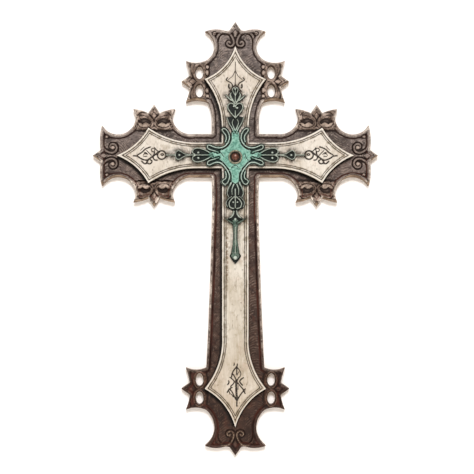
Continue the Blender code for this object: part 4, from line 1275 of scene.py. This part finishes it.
def cast_strands():
    """Every raised strand, as (path, half widths at its points)."""
    strands = []
    for side in (1, -1):
        strands += [(drawn(knots, side), widths) for knots, widths in upright_strands()]
        for up in (1, -1):
            strands.append((drawn(scoop_strand(), side, up), (0.9, 1.0, 1.0, 0.9)))
        for knots, widths in side_strands():
            ways = (1, -1) if knots[1][1] else (1,)
            strands += [(drawn(knots, side, up), widths) for up in ways]
    strands += [(drawn(knots), widths) for knots, widths in middle_strands()]
    found = []
    for knots, widths in strands:
        path = smooth(knots)
        spread = np.interp(np.linspace(0, 1, len(path)), np.linspace(0, 1, len(widths)), widths)
        found.append((path, spread * STRAND_HALF_WIDTH))
    return found


def lobe_plates():
    """The plates under the lobes, wider than them all round."""
    loops = [smooth(drawn(lobe, side, up)) for side in (1, -1) for up in (1, -1) for lobe in lobes()]
    return [beside(loop, LOBE_MARGIN * turning(loop), closed=True) for loop in loops]


def cast_plates():
    """The lower plates that join the strands and close their loops."""
    halves = [
        [(0.0, 5.2), (1.14, 4.90), (0.86, 4.1), (0.50, 3.4), (0.44, 2.4), (0.0, 2.0)],
        [(0.0, 6.80), (0.50, 6.80), (0.94, 6.60), (1.08, 6.20), (0.92, 5.76), (0.46, 5.2), (0.14, 4.80),
         (0.0, 4.7)],
        [(0.0, 8.66), (0.36, 8.50), (0.70, 7.9), (0.74, 7.44), (1.14, 7.76), (1.26, 7.58), (0.6, 6.94),
         (0.2, 6.6), (0.0, 6.3)],
        [(0.0, -2.0), (0.44, -2.6), (0.98, -3.9), (1.12, -4.5), (0.96, -5.1), (0.0, -5.2)],
        [(0.0, -4.7), (0.50, -4.74), (0.96, -5.12), (1.24, -5.7), (1.04, -6.30), (0.40, -6.60), (0.0, -6.8)],
        [(0.0, -6.4), (0.34, -6.8), (0.44, -7.24), (0.96, -7.60), (0.5, -8.2), (0.0, -8.3)],
        [(0.0, -11.9), (0.58, -12.0), (0.72, -12.3), (0.50, -12.7), (0.0, -13.3)],
    ]
    plates = [closed_from_half(drawn(half)) for half in halves]
    heart = [(2.7, 0.22), (3.5, 0.58), (4.1, 0.84), (4.74, 0.96), (5.3, 0.76), (5.5, 0.3)]
    heart += [(x, -z) for x, z in reversed(heart)]
    knot = [(5.3, 0.12), (6.2, 0.22), (6.62, 0.46), (7.0, 0.64), (7.40, 0.50), (7.6, 0.0)]
    knot += [(x, -z) for x, z in reversed(knot[:-1])]
    for side in (1, -1):
        plates += [drawn(shape, side) for shape in (heart, knot)]
    return plates + lobe_plates()


def cast_body():
    """The star in the middle, whose four necks carry the arms."""
    corners = np.array([(0.50, 3.1), (0.50, 2.4), (1.14, 1.20), (2.1, 0.52), (3.2, 0.34)]) * CAST_GRID
    bows = (0.0, 0.0, -1.4, -0.6, 0.0)
    upper = trace([(*corner, bow) for corner, bow in zip(corners, bows)])
    reach = 3.4 * CAST_GRID
    right = np.vstack([(0.0, reach), upper, (reach, 0.0), upper[::-1] * (1, -1), (0.0, -reach)])
    return closed_from_half(dropped(right))


def cast_pearls():
    """Small pearls, each with a painted glint, as (centre, radius)."""
    found = [((2.2, 58.6), 1.5), ((-2.0, 60.6), 1.3), ((0.0, -79.6), 1.7), ((0.0, -127.6), 2.6)]
    for side in (1, -1):
        found += [((side * 46.0, 3.0), 1.5), ((side * 46.0, -3.6), 1.5), ((side * 69.6, 0.0), 1.4),
                  ((side * 2.6, -58.6), 1.2)]
    return found


def cast_cuts():
    """Thin cut lines on the body, in squares of the drawing's grid."""
    cuts = [[(-2.05, 0.72), (-1.86, 0.40), (-1.60, 0.10), (-1.40, -0.04)],
            [(-2.8, -0.20), (-2.3, -0.24), (-1.9, -0.16)],
            [(-0.5, -1.36), (0.0, -1.02), (0.5, -1.36)],
            [(1.22, 0.3), (1.36, -0.2), (1.6, -0.56)]]
    return [smooth(drawn(cut)) for cut in cuts]


def strand_band(path, widths):
    """The half width vectors of a strand, to the left of its run."""
    run = np.gradient(path, axis=0)
    run /= np.hypot(*run.T)[:, None]
    return np.stack([-run[:, 1], run[:, 0]], axis=1) * widths[:, None]


def strand_guides(path, left):
    """Edges along a strand and across its two ends."""
    ends = np.array([[path[i] + left[i], path[i] - left[i]] for i in (0, -1)])
    return [path_edges(path + left * share) for share in (1.0, 0.5, 0.0, -0.5, -1.0)] + [ends]


def raised_strand(points, top, path, widths, hammered):
    """Adds a round strand to the heights."""
    reach = float(max(widths))
    near = gap(points, [path], reach)
    close = np.flatnonzero(near < reach)
    spots = points[close]
    step = np.argmin(np.hypot(spots[:, None, 0] - path[:, 0], spots[:, None, 1] - path[:, 1]), axis=1)
    share = clamped(1.0 - (near[close] / widths[step]) ** 2)
    full = CAST_STRAND - (GRIP_DROP if reach > GRIP_REACH else 0.0)
    strand = CAST_PLATE + (full - CAST_PLATE) * np.sqrt(share) - 0.1 * hammered[close]
    top[close] = np.where(share > 0, np.maximum(top[close], strand), top[close])


def make_cast_cross():
    body = cast_body()
    strands = cast_strands()
    scoops = [smooth(drawn(scoop_strand(), side, up)) for side in (1, -1) for up in (1, -1)]
    under_lobes = lobe_plates()
    regions = [body] + cast_plates()
    guides = [ring_edges(body), offset_edges(body, CAST_BODY_BEVEL, [body])]
    guides += [ring_edges(plate) for plate in regions[1:]]
    guides += [offset_edges(plate, width, [plate]) for plate in under_lobes for width in (0.5, 1.0)]
    for path, widths in strands:
        left = strand_band(path, widths)
        guides += strand_guides(path, left)
        sides = np.stack([path + left, path - left], axis=1)
        regions += [np.vstack([a[:1], b, a[1:]]) for a, b in zip(sides, sides[1:])]

    def height(points):
        top = np.full(len(points), CAST_PLATE)
        inner = gap(points, [body], CAST_BODY_BEVEL, True)
        beside_strand = gap(points, scoops, 3.4) - STRAND_HALF_WIDTH - SCOOP_MOAT
        ramp = clamped(np.minimum(inner, beside_strand) / CAST_BODY_BEVEL) * inside(points, body)
        hammered = uneven(points, HAMMERING)
        top = top + (CAST_BODY - CAST_PLATE - HAMMERED_DROP + hammered) * np.sqrt(ramp)
        from_edge = gap(points, under_lobes, 1.6, True) - PLATE_EDGE_HALF_WIDTH
        edging = clamped(1.0 - np.abs(from_edge) / PLATE_EDGE_HALF_WIDTH)
        top = np.maximum(top, CAST_PLATE + PLATE_EDGE_RISE * np.sqrt(edging) * (ramp <= 0))
        for cut in cast_cuts():
            top -= CUT_DEPTH * nearness(points, [cut], CUT_HALF_WIDTH)
        for path, widths in strands:
            raised_strand(points, top, path, widths, hammered)
        for centre, radius in cast_pearls():
            near = bump_on(points, centre, radius, radius)
            top = np.where(near > 0, np.maximum(top, CAST_PLATE + PEARL_RISE * np.sqrt(near)), top)
        top = np.minimum(top, CAST_STRAND + 0.3)
        under_ring = np.hypot(*(points - drawn([(0.0, 0.0)])).T) < RING_OUTER_RADIUS + RING_SEAT_MARGIN
        return CAST_BACK + np.where(under_ring, np.minimum(top, CAST_BODY), top)

    cast, points, worn = relief("cast_cross", body, [], guides, CAST_MESH_GRID, height, CAST_BACK,
                                regions=regions)
    pearls = [np.hypot(*(points - centre).T) < radius * PEARL_GLINT_SHARE for centre, radius in cast_pearls()]
    ribbed = nearness(points, [strands[-1][0]], 1.0)
    paint(cast, **worn, pearl=np.any(pearls, axis=0), grip=(points[:, 1] < GRIP_TOP) * (1.0 - ribbed),
          plate=clamped((CAST_BACK + PLATE_TONE_TOP - height(points)) / 0.8), body=inside(points, body))
    return cast


def turned(name, profile, closed):
    """A solid turned about the stud's axis from a profile of (radius, height)."""
    vertices, rows = [], []
    for radius, height in profile:
        count = TURNED_SIDES if radius > 0 else 1
        rows.append([len(vertices) + i for i in range(count)])
        for i in range(count):
            turn = 2 * math.pi * i / TURNED_SIDES
            vertices.append((radius * math.cos(turn), -height, radius * math.sin(turn) - CAST_DROP))
    faces = []
    for first, second in list(zip(rows, rows[1:])) + ([(rows[-1], rows[0])] if closed else []):
        for i in range(TURNED_SIDES):
            j = (i + 1) % TURNED_SIDES
            corners = (first[i % len(first)], first[j % len(first)], second[j % len(second)],
                       second[i % len(second)])
            faces.append(tuple(dict.fromkeys(corners)))
    return add_mesh(name, vertices, faces, crease=60.0)


def make_ring():
    middle = (RING_INNER_RADIUS + RING_OUTER_RADIUS) / 2
    half = (RING_OUTER_RADIUS - RING_INNER_RADIUS) / 2
    profile = [(RING_INNER_RADIUS, STUD_BACK), (RING_OUTER_RADIUS, STUD_BACK)]
    for step in range(RING_STEPS + 1):
        turn = math.pi * step / RING_STEPS
        crown = STUD_BACK + RING_SHOULDER + RING_CROWN * math.sin(turn)
        profile.append((middle + half * math.cos(turn), crown))
    return turned("bronze_ring", profile, True)


def make_stud():
    profile = [(0.0, STUD_BACK), (STUD_RADIUS, STUD_BACK)]
    for step in range(DOME_STEPS + 1):
        turn = math.pi / 2 * step / DOME_STEPS
        rise = (STUD_HEIGHT - STUD_SHOULDER) * math.sin(turn)
        radius = STUD_RADIUS * math.cos(turn) if step < DOME_STEPS else 0.0
        profile.append((radius, STUD_BACK + STUD_SHOULDER + rise))
    return turned("domed_stud", profile, False)


# Finishes

class Signal:
    """A socket's value on its way through a finish. Its operators add Math nodes."""

    def __init__(self, finish, socket):
        self.finish = finish
        self.socket = socket

    def __add__(self, other):
        return self.finish.math("ADD", self, other)

    def __radd__(self, other):
        return self.finish.math("ADD", other, self)

    def __sub__(self, other):
        return self.finish.math("SUBTRACT", self, other)

    def __rsub__(self, other):
        return self.finish.math("SUBTRACT", other, self)

    def __mul__(self, other):
        return self.finish.math("MULTIPLY", self, other)

    def __rmul__(self, other):
        return self.finish.math("MULTIPLY", other, self)

    def __pow__(self, other):
        return self.finish.math("POWER", self, other)

    def __abs__(self):
        return self.finish.math("ABSOLUTE", self, 0.0)

    def over(self, other):
        return self.finish.math("MAXIMUM", self, other)

    def rise(self, low, high):
        """0 up to low, 1 from high on, and smooth between them."""
        settings = {"interpolation_type": "SMOOTHSTEP"}
        values = {"Value": self, "From Min": low, "From Max": high}
        return Signal(self.finish, self.finish.node("ShaderNodeMapRange", settings, values).outputs[0])


def tint(red, green, blue):
    """A colour given in steps from 0 to 255, as the shader counts it."""
    return tuple((step / 255 / 12.92) if step < 10 else ((step / 255 + 0.055) / 1.055) ** 2.4
                 for step in (red, green, blue))


class Finish:
    """A node material under construction, with the colour laid on it so far as its tone."""

    def __init__(self, name, **shader_values):
        self.material = bpy.data.materials.new(name)
        self.material.use_nodes = True
        self.tree = self.material.node_tree
        self.shader = self.tree.nodes["Principled BSDF"]
        for key, value in shader_values.items():
            self.shader.inputs[key.replace("_", " ")].default_value = value
        self.place = self.node("ShaderNodeTexCoord").outputs["Object"]
        self.tone = None

    def node(self, kind, settings=None, values=None):
        node = self.tree.nodes.new(kind)
        for key, value in (settings or {}).items():
            setattr(node, key, value)
        for key, value in (values or {}).items():
            self.feed(node.inputs[key], value)
        return node

    def feed(self, socket, value):
        if isinstance(value, Signal):
            self.tree.links.new(value.socket, socket)
        elif isinstance(value, bpy.types.NodeSocket):
            self.tree.links.new(value, socket)
        else:
            socket.default_value = value

    def math(self, operation, first, second):
        node = self.node("ShaderNodeMath", {"operation": operation}, {0: first, 1: second})
        return Signal(self, node.outputs[0])

    def kept(self, *names):
        """The numbers that the mesh keeps for each point under these names."""
        nodes = [self.node("ShaderNodeAttribute", {"attribute_name": name}) for name in names]
        return [Signal(self, node.outputs["Fac"]) for node in nodes]

    def stretched(self, size, stretch):
        """The place on the cross, counted in patches of a size in millimetres along each axis."""
        scale = [1000.0 / size / share for share in stretch]
        node = self.node("ShaderNodeVectorMath", {"operation": "MULTIPLY"}, {0: self.place, 1: scale})
        return node.outputs[0]

    def noise(self, size, detail=3.0, stretch=(1.0, 1.0, 1.0), twist=0.0):
        """Noise with patches of about the given size, longer along the stretched axes."""
        values = {"Vector": self.stretched(size, stretch), "Scale": 1.0, "Detail": detail,
                  "Roughness": NOISE_ROUGHNESS, "Distortion": twist}
        return Signal(self, self.node("ShaderNodeTexNoise", None, values).outputs[0])

    def cells(self, size, stretch):
        """The distance to the middle of scattered cells of about the given size."""
        values = {"Vector": self.stretched(size, stretch), "Scale": 1.0}
        return Signal(self, self.node("ShaderNodeTexVoronoi", None, values).outputs["Distance"])

    def axis(self, name):
        """How far along X, Y or Z a place is, in metres."""
        return Signal(self, self.node("ShaderNodeSeparateXYZ", None, {0: self.place}).outputs[name])

    def distance_to(self, place):
        node = self.node("ShaderNodeVectorMath", {"operation": "DISTANCE"}, {0: self.place, 1: place})
        return Signal(self, node.outputs["Value"])

    def facing_front(self):
        """1 on the front, 0 on the sides and back."""
        normal = self.node("ShaderNodeNewGeometry").outputs["Normal"]
        split = self.node("ShaderNodeSeparateXYZ", None, {0: normal})
        return (0.0 - Signal(self, split.outputs["Y"])).rise(0.15, 0.55)

    def mix(self, first, second, share):
        """The first colour, turned into the second by a share."""
        node = self.node("ShaderNodeMix", {"data_type": "RGBA"})
        self.feed(node.inputs[0], share)
        for index, value in ((6, first), (7, second)):
            self.feed(node.inputs[index], (*value, 1.0) if isinstance(value, tuple) else value)
        return Signal(self, node.outputs[2])

    def lay(self, colour, share):
        """Lays a colour over the tone."""
        self.tone = self.mix(self.tone, colour, share)

    def bump(self, height, strength, distance):
        values = {"Strength": strength, "Distance": distance, "Height": height}
        self.feed(self.shader.inputs["Normal"], self.node("ShaderNodeBump", None, values).outputs[0])

    def done(self, roughness, metallic=0.0):
        for name, value in (("Base Color", self.tone), ("Roughness", roughness), ("Metallic", metallic)):
            self.feed(self.shader.inputs[name], value)
        return self.material


def carved_wood():
    f = Finish("stained_carving", Specular_IOR_Level=0.14)
    hollow, crest, line, leaf, groove, wide_groove = f.kept(
        "hollow", "crest", "edge_line", "leaf", "groove", "wide_groove")
    lower_edge_shade, bead, shade, stroke, scroll_highlight, lobe, eye_line = f.kept(
        "underside_shade", "bead", "shade", "stroke", "scroll_highlight", "lobe", "eye_line")
    level = f.axis("Z")
    middle, high = level.rise(*FOOT_TO_CROSSING), level.rise(*CROSSING_TO_TOP)
    patches, grit = f.noise(24.0, 4.0), f.noise(1.7)

    # Stain in patches under a painted light that brightens and greys it towards the top, so darker and redder
    # towards the foot, with a painted pale sheen in patches near the top
    clouds = patches.rise(0.35, 0.65)
    f.tone = f.mix(tint(44, 31, 25), tint(64, 46, 38), clouds)
    f.lay(f.mix(tint(68, 52, 45), tint(88, 70, 61), clouds), middle)
    f.lay(f.mix(tint(76, 67, 63), tint(110, 99, 95), clouds), high)
    f.lay(tint(88, 52, 40), f.noise(8.0, twist=0.5).rise(0.52, 0.70) * (1.0 - high) * 0.4)
    f.lay(tint(34, 24, 21), f.noise(2.6, 3.0, (1.8, 1.0, 0.8), 0.6).rise(0.46, 0.68) * 0.62)
    f.lay(tint(170, 156, 148), f.noise(5.0, 4.0, (1.6, 1.0, 0.7), 0.8).rise(0.56, 0.70) * high * 0.5)

    # Pale strokes, painted highlights on the crests and pink painted highlights on the leaves' crests, leaves
    # and beads, all lighter towards the top
    pale_stroke = f.mix(tint(100, 76, 62), tint(160, 142, 130), middle * 0.6 + high * 0.4)
    f.lay(pale_stroke, stroke * (0.35 + 0.5 * grit.rise(0.36, 0.54)))
    lit = f.mix(tint(108, 84, 72), tint(168, 152, 142), middle * 0.5 + high * 0.5)
    f.lay(lit, crest.rise(0.10, 0.80) * (0.35 + 0.65 * grit.rise(0.38, 0.6)) * (0.36 + 0.26 * middle))
    leaf_low = f.mix(tint(40, 26, 21), tint(70, 48, 39), grit.rise(0.3, 0.7))
    leaf_high = f.mix(tint(86, 69, 59), tint(136, 116, 101), grit.rise(0.3, 0.7))
    f.lay(f.mix(leaf_low, leaf_high, middle * 0.7 + high * 0.3), leaf * (0.55 + 0.35 * crest))
    pink = f.noise(7.0, 2.0).rise(0.48, 0.64) * leaf * crest.rise(0.05, 0.5)
    f.lay(f.mix(tint(112, 70, 54), tint(196, 174, 160), middle), pink * 0.6)
    f.lay(f.mix(tint(110, 82, 68), tint(186, 166, 152), middle), bead * 0.7)

    # Darker in the hollows, and dark cut lines in the grooves
    darkest = (0.95 - 0.30 * leaf * (1.0 - hollow.rise(0.5, 0.9))) * (0.62 + 0.38 * middle)
    f.lay(f.mix(tint(20, 11, 8), tint(30, 18, 13), middle), hollow.rise(0.10, 0.66) * darkest)
    cut = f.mix(tint(88, 42, 30), tint(34, 18, 14), high)
    f.lay(cut, groove.rise(0.25, 0.9) * (0.6 + 0.4 * patches.rise(0.3, 0.5)) * 0.9)
    band = f.mix(tint(66, 34, 26), tint(22, 12, 9), f.noise(12.0, 3.0, (1.0, 1.0, 3.0)).rise(0.42, 0.58))
    f.lay(band, wide_groove.rise(0.2, 0.8) * 0.85)

    # Worn edge, its chips and its nicks
    nibbled = 0.2 + 0.8 * f.noise(4.6, 4.0, (1.0, 1.0, 1.6), 1.0).rise(0.38, 0.52)
    worn = line.rise(0.05, 0.7) * nibbled * (1.0 - 0.55 * high)
    f.lay(f.mix(tint(62, 44, 36), tint(204, 190, 176), middle), worn * 0.9)
    chips = f.noise(7.0).rise(0.54, 0.60) * line.rise(0.0, 0.4)
    f.lay(tint(222, 208, 194), chips * middle * (0.9 - 0.4 * high))
    nicks = f.noise(5.4, 4.0, twist=1.2).rise(0.55, 0.62) * line.rise(0.0, 0.3)
    f.lay(tint(44, 26, 20), nicks * (1.0 - high * 0.5) * 0.8)

    # Painted shade and a painted lit underside at down-facing edges, painted highlights on the foot scrolls,
    # pale eye-band lines, worn lobes also painted light, the panel's painted shadow
    # Painted shade in a dark line along the edges that face down, then a painted tan band standing in for
    # their lit underside
    lip = lower_edge_shade.rise(0.20, 0.36)
    tan = f.mix(tint(112, 90, 70), tint(168, 144, 120), f.noise(5.0, 3.0, (2.0, 1.0, 1.0)).rise(0.35, 0.65))
    f.lay(tint(38, 22, 14), lower_edge_shade.rise(0.02, 0.14) * (0.35 + 0.5 * middle))
    f.lay(tan, lip * middle * 0.8)
    # Painted highlight along the foot end's scrolls
    f.lay(tint(158, 136, 116), scroll_highlight * grit.rise(0.40, 0.56) * patches.rise(0.3, 0.5))
    # Lobes of the blind eyes made paler, partly as wear and partly as painted light
    f.lay(tint(188, 168, 152), lobe.rise(0.2, 0.8) * (0.35 + 0.65 * f.noise(3.4).rise(0.4, 0.58)) * 0.75)
    f.lay(tint(128, 104, 88), eye_line * grit.rise(0.36, 0.54) * 0.7)
    # Painted shadow of the panel, falling below and beside it on the board
    f.lay(tint(12, 7, 5), shade.rise(0.0, 0.62) * 0.93)

    # Plain wood on the sides and back
    flank = f.mix(tint(76, 54, 40), tint(128, 100, 78), f.noise(3.0, 4.0, (0.35, 1.0, 9.0)).rise(0.3, 0.7))
    f.tone = f.mix(flank, f.tone, f.facing_front().over(lip * 0.8))
    f.bump(grit * 0.6 + f.noise(0.7, 2.0) * 0.4, 0.5, 0.0005)
    return f.done(0.52 + 0.2 * patches - 0.08 * crest)


def cream_paint():
    f = Finish("cream_paint_with_dark_lines", Specular_IOR_Level=0.2)
    drawing, border, side, grime = f.kept("drawing", "border", "side_edge", "grime")
    broad = f.noise(34.0, 4.0, (1.0, 1.0, 2.0))
    brush, fine = f.noise(2.6, 3.0, (0.6, 1.0, 6.0)), f.noise(1.1)
    level = f.axis("Z")

    # Paint in uneven creams, with stains, smears and specks
    f.tone = f.mix(tint(184, 172, 154), tint(214, 206, 194), broad.rise(0.34, 0.66))
    # Darker towards the foot, and paler from the middle up
    f.lay(tint(178, 156, 132), (1.0 - level.rise(*PANEL_FOOT)) * 0.6)
    f.lay(tint(206, 194, 184), level.rise(*PANEL_MIDDLE) * 0.45)
    f.lay(tint(230, 223, 213), brush.rise(0.46, 0.72) * 0.35)
    f.lay(tint(160, 144, 122), f.noise(4.4, 4.0, (1.0, 1.0, 1.5), 0.8).rise(0.52, 0.70) * 0.4)
    f.lay(tint(146, 130, 106), f.noise(10.0, 4.0, twist=0.8).rise(0.54, 0.70) * 0.45)
    f.lay(tint(206, 182, 166), f.noise(15.0, twist=0.4).rise(0.58, 0.72) * 0.35)
    smears = f.noise(7.0, 4.0, (0.7, 1.0, 2.0), 1.2).rise(0.57, 0.70) * f.noise(26.0, 2.0).rise(0.42, 0.58)
    f.lay(tint(118, 100, 78), smears * 0.6)
    specks = (1.0 - f.cells(4.6, (1.0, 1.0, 1.6)).rise(0.06, 0.26)) * f.noise(16.0, 2.0).rise(0.44, 0.58)
    f.lay(tint(86, 68, 50), specks * fine.rise(0.35, 0.6) * 0.8)

    # Pale worn edge with nicks, grime and painted shade round the cast, and the streak beside its grip
    f.lay(tint(238, 231, 220), side.rise(0.1, 0.8) * 0.85)
    f.lay(tint(150, 126, 102), f.noise(5.0).rise(0.60, 0.70) * side.rise(0.1, 0.5) * 0.7)
    # Dark grime round the cast, which also paints the cast's shade on the panel
    dust_and_shade = grime.rise(0.10, 0.95) * f.noise(4.5, 4.0, twist=0.5).rise(0.34, 0.58)
    f.lay(tint(62, 54, 42), dust_and_shade * 0.9)
    beside_grip = 1.0 - abs(f.axis("X") - STREAK_PLACE).rise(*STREAK_HALF_WIDTH)
    run = level.rise(*STREAK_START) * (1.0 - level.rise(*STREAK_END))
    f.lay(tint(108, 84, 58), beside_grip * run * f.noise(3.0).rise(0.40, 0.56) * 0.75)

    # Border lines and drawings, each with a smudge beside it
    f.lay(tint(126, 110, 84), border.rise(0.0, 0.25) * f.noise(6.0).rise(0.46, 0.62) * 0.65)
    broken = 0.62 + 0.38 * f.noise(5.0, 2.0).rise(0.32, 0.5)
    f.lay(tint(46, 36, 26), border.rise(0.18, 0.75) * broken * 0.95)
    f.lay(tint(140, 118, 92), drawing.rise(0.0, 0.3) * f.noise(2.6).rise(0.40, 0.6) * 0.7)
    f.lay(tint(30, 21, 15), drawing.rise(0.10, 0.45) * (0.75 + 0.25 * fine.rise(0.3, 0.55)))
    f.tone = f.mix(tint(150, 132, 108), f.tone, f.facing_front().over(0.25))
    f.bump(brush * 0.5 + fine * 0.5, 0.3, 0.0003)
    return f.done(0.50 + 0.2 * broad)


def verdigris():
    f = Finish("verdigris_patina", Specular_IOR_Level=0.2)
    hollow, crest, pearl, plate, body, grip = f.kept("hollow", "crest", "pearl", "plate", "body", "grip")
    mottle, broad, fine = f.noise(3.0, 4.0, twist=0.3), f.noise(16.0), f.noise(1.0)
    near = 1.0 - f.distance_to((0.0, -CAST_BACK * MM, -CAST_DROP * MM)).rise(*NEAR_STUD)
    bright = f.mix(tint(84, 134, 118), tint(132, 180, 162), mottle.rise(0.36, 0.62))
    bright = f.mix(bright, tint(160, 200, 180), mottle.rise(0.56, 0.72) * crest.rise(0.05, 0.5) * 0.7)
    f.tone = f.mix(tint(24, 42, 34), tint(66, 94, 78), mottle.rise(0.35, 0.65))
    f.lay(bright, body.over(near * 0.85) * (0.8 + 0.2 * broad))
    strand = f.mix(tint(186, 192, 180), tint(206, 224, 212), near)
    lit = crest.rise(0.06, 0.5) * (1.0 - 0.75 * body) * (1.0 - 0.8 * grip)
    f.lay(strand, lit * (0.5 + 0.5 * fine.rise(0.3, 0.55)) * 0.95)
    f.lay(tint(6, 10, 7), plate.rise(0.1, 0.9) * 0.97)
    f.lay(f.mix(tint(12, 18, 12), tint(12, 36, 28), near), hollow.rise(0.10, 0.50) * 0.94)
    # Painted glint on the pearls
    f.lay(tint(206, 214, 202), pearl * 0.7)
    f.tone = f.mix(tint(26, 38, 30), f.tone, f.facing_front().over(0.12))
    f.bump(mottle * 0.7 + fine * 0.3, 0.4, 0.0005)
    return f.done(0.46 + 0.25 * mottle, 0.06 + 0.1 * crest)


def bronze():
    f = Finish("aged_bronze", Specular_IOR_Level=0.35)
    patches = f.noise(2.4)
    f.tone = f.mix(tint(150, 142, 122), tint(84, 82, 66), patches.rise(0.4, 0.7))
    f.bump(f.noise(0.8, 2.0), 0.2, 0.0003)
    return f.done(0.34 + 0.3 * patches, 0.25 + 0.2 * patches)


def brown_patina():
    f = Finish("brown_patina", Specular_IOR_Level=0.3, Coat_Weight=0.1)
    patches = f.noise(3.4)
    x, z = f.axis("X"), f.axis("Z") + CAST_DROP * MM
    away = (x * x + z * z) ** 0.5
    f.tone = f.mix(tint(72, 40, 28), tint(112, 70, 52), patches.rise(0.35, 0.65))
    # Painted shade, darker towards the dome's rim where its side turns away
    f.lay(tint(18, 9, 6), away.rise(0.40 * STUD_RADIUS * MM, 0.90 * STUD_RADIUS * MM) * 0.95)
    f.bump(f.noise(1.1, 2.0), 0.12, 0.0003)
    return f.done(0.28 + 0.2 * patches, 0.15 + 0.1 * patches)


# Stage, light and camera

def plain_plane(name, corners, material):
    mesh = bpy.data.meshes.new(name)
    mesh.from_pydata(corners, [], [(0, 1, 2, 3)])
    mesh.materials.append(material)
    plane = bpy.data.objects.new(name, mesh)
    bpy.context.scene.collection.objects.link(plane)
    return plane


def make_stage():
    """A pale floor below, and a white wall that also glows a warm tan and is seen only from its front."""
    pale = Finish("pale_floor")
    pale.tone = (0.82, 0.81, 0.79, 1.0)
    plain_plane("floor", [(x, y, FLOOR_LEVEL) for x, y in
                          ((-ROOM_HALF, -ROOM_DEPTH), (ROOM_HALF, -ROOM_DEPTH), (ROOM_HALF, ROOM_DEPTH),
                           (-ROOM_HALF, ROOM_DEPTH))], pale.done(0.8))
    white = Finish("white_wall", Specular_IOR_Level=0.0, Emission_Strength=WALL_GLOW)
    white.tone = (0.97, 0.97, 0.97, 1.0)
    white.feed(white.shader.inputs["Emission Color"], (*tint(226, 190, 148), 1.0))
    behind = white.node("ShaderNodeNewGeometry").outputs["Backfacing"]
    clear = white.node("ShaderNodeBsdfTransparent").outputs[0]
    mixed = white.node("ShaderNodeMixShader", None, {0: behind, 1: white.shader.outputs[0], 2: clear})
    white.feed(white.tree.nodes["Material Output"].inputs["Surface"], mixed.outputs[0])
    wall = plain_plane("wall", [(x, WALL_GAP, z) for x, z in
                                ((-ROOM_HALF, FLOOR_LEVEL), (ROOM_HALF, FLOOR_LEVEL), (ROOM_HALF, WALL_TOP),
                                 (-ROOM_HALF, WALL_TOP))], white.done(0.9))
    wall.visible_shadow = False


def make_light(name, place, size, watts):
    light = bpy.data.lights.new(name, "AREA")
    light.shape = "DISK"
    light.size = size
    light.energy = watts
    lamp = bpy.data.objects.new(name, light)
    lamp.location = place
    lamp.rotation_euler = (Vector(LIGHTS_AIM) - Vector(place)).to_track_quat("-Z", "Y").to_euler()
    bpy.context.scene.collection.objects.link(lamp)


def make_lights():
    for name, place, size, watts in LIGHTS:
        make_light(name, place, size, watts)
    world = bpy.data.worlds.new("studio")
    world.use_nodes = True
    nodes, links = world.node_tree.nodes, world.node_tree.links
    background, backdrop = nodes["Background"], nodes.new("ShaderNodeBackground")
    background.inputs["Color"].default_value = (1.0, 0.92, 0.83, 1.0)
    background.inputs["Strength"].default_value = 0.20
    backdrop.inputs["Color"].default_value = (1.0, 1.0, 1.0, 1.0)
    seen, mixed = nodes.new("ShaderNodeLightPath"), nodes.new("ShaderNodeMixShader")
    links.new(seen.outputs["Is Camera Ray"], mixed.inputs[0])
    links.new(background.outputs[0], mixed.inputs[1])
    links.new(backdrop.outputs[0], mixed.inputs[2])
    links.new(mixed.outputs[0], nodes["World Output"].inputs["Surface"])
    bpy.context.scene.world = world


def make_camera():
    camera = bpy.data.cameras.new("camera")
    camera.sensor_width = SENSOR_WIDTH
    camera.lens = SENSOR_WIDTH * CAMERA_DISTANCE / VIEW_WIDTH
    view = bpy.data.objects.new("camera", camera)
    view.location = (VIEW_MIDDLE[0], -CAMERA_DISTANCE - FOCUS_PLANE, VIEW_MIDDLE[1])
    view.rotation_euler = (math.pi / 2, 0.0, 0.0)
    bpy.context.scene.collection.objects.link(view)
    bpy.context.scene.camera = view
    bpy.context.scene.view_settings.view_transform = "Standard"


for make, finish, node, slot in (
    (make_board, carved_wood, "back_board", "carved_board"),
    (make_panel, cream_paint, "cream_panel", "cream_paint"),
    (make_cast_cross, verdigris, "verdigris_cross", "verdigris"),
    (make_ring, bronze, "stud_bezel", "aged_bronze"),
    (make_stud, brown_patina, "centre_stud", "brown_stud"),
):
    piece = make()
    piece.data.materials.append(finish())
    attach(piece, "root")
    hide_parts(node)

make_stage()
make_lights()
make_camera()
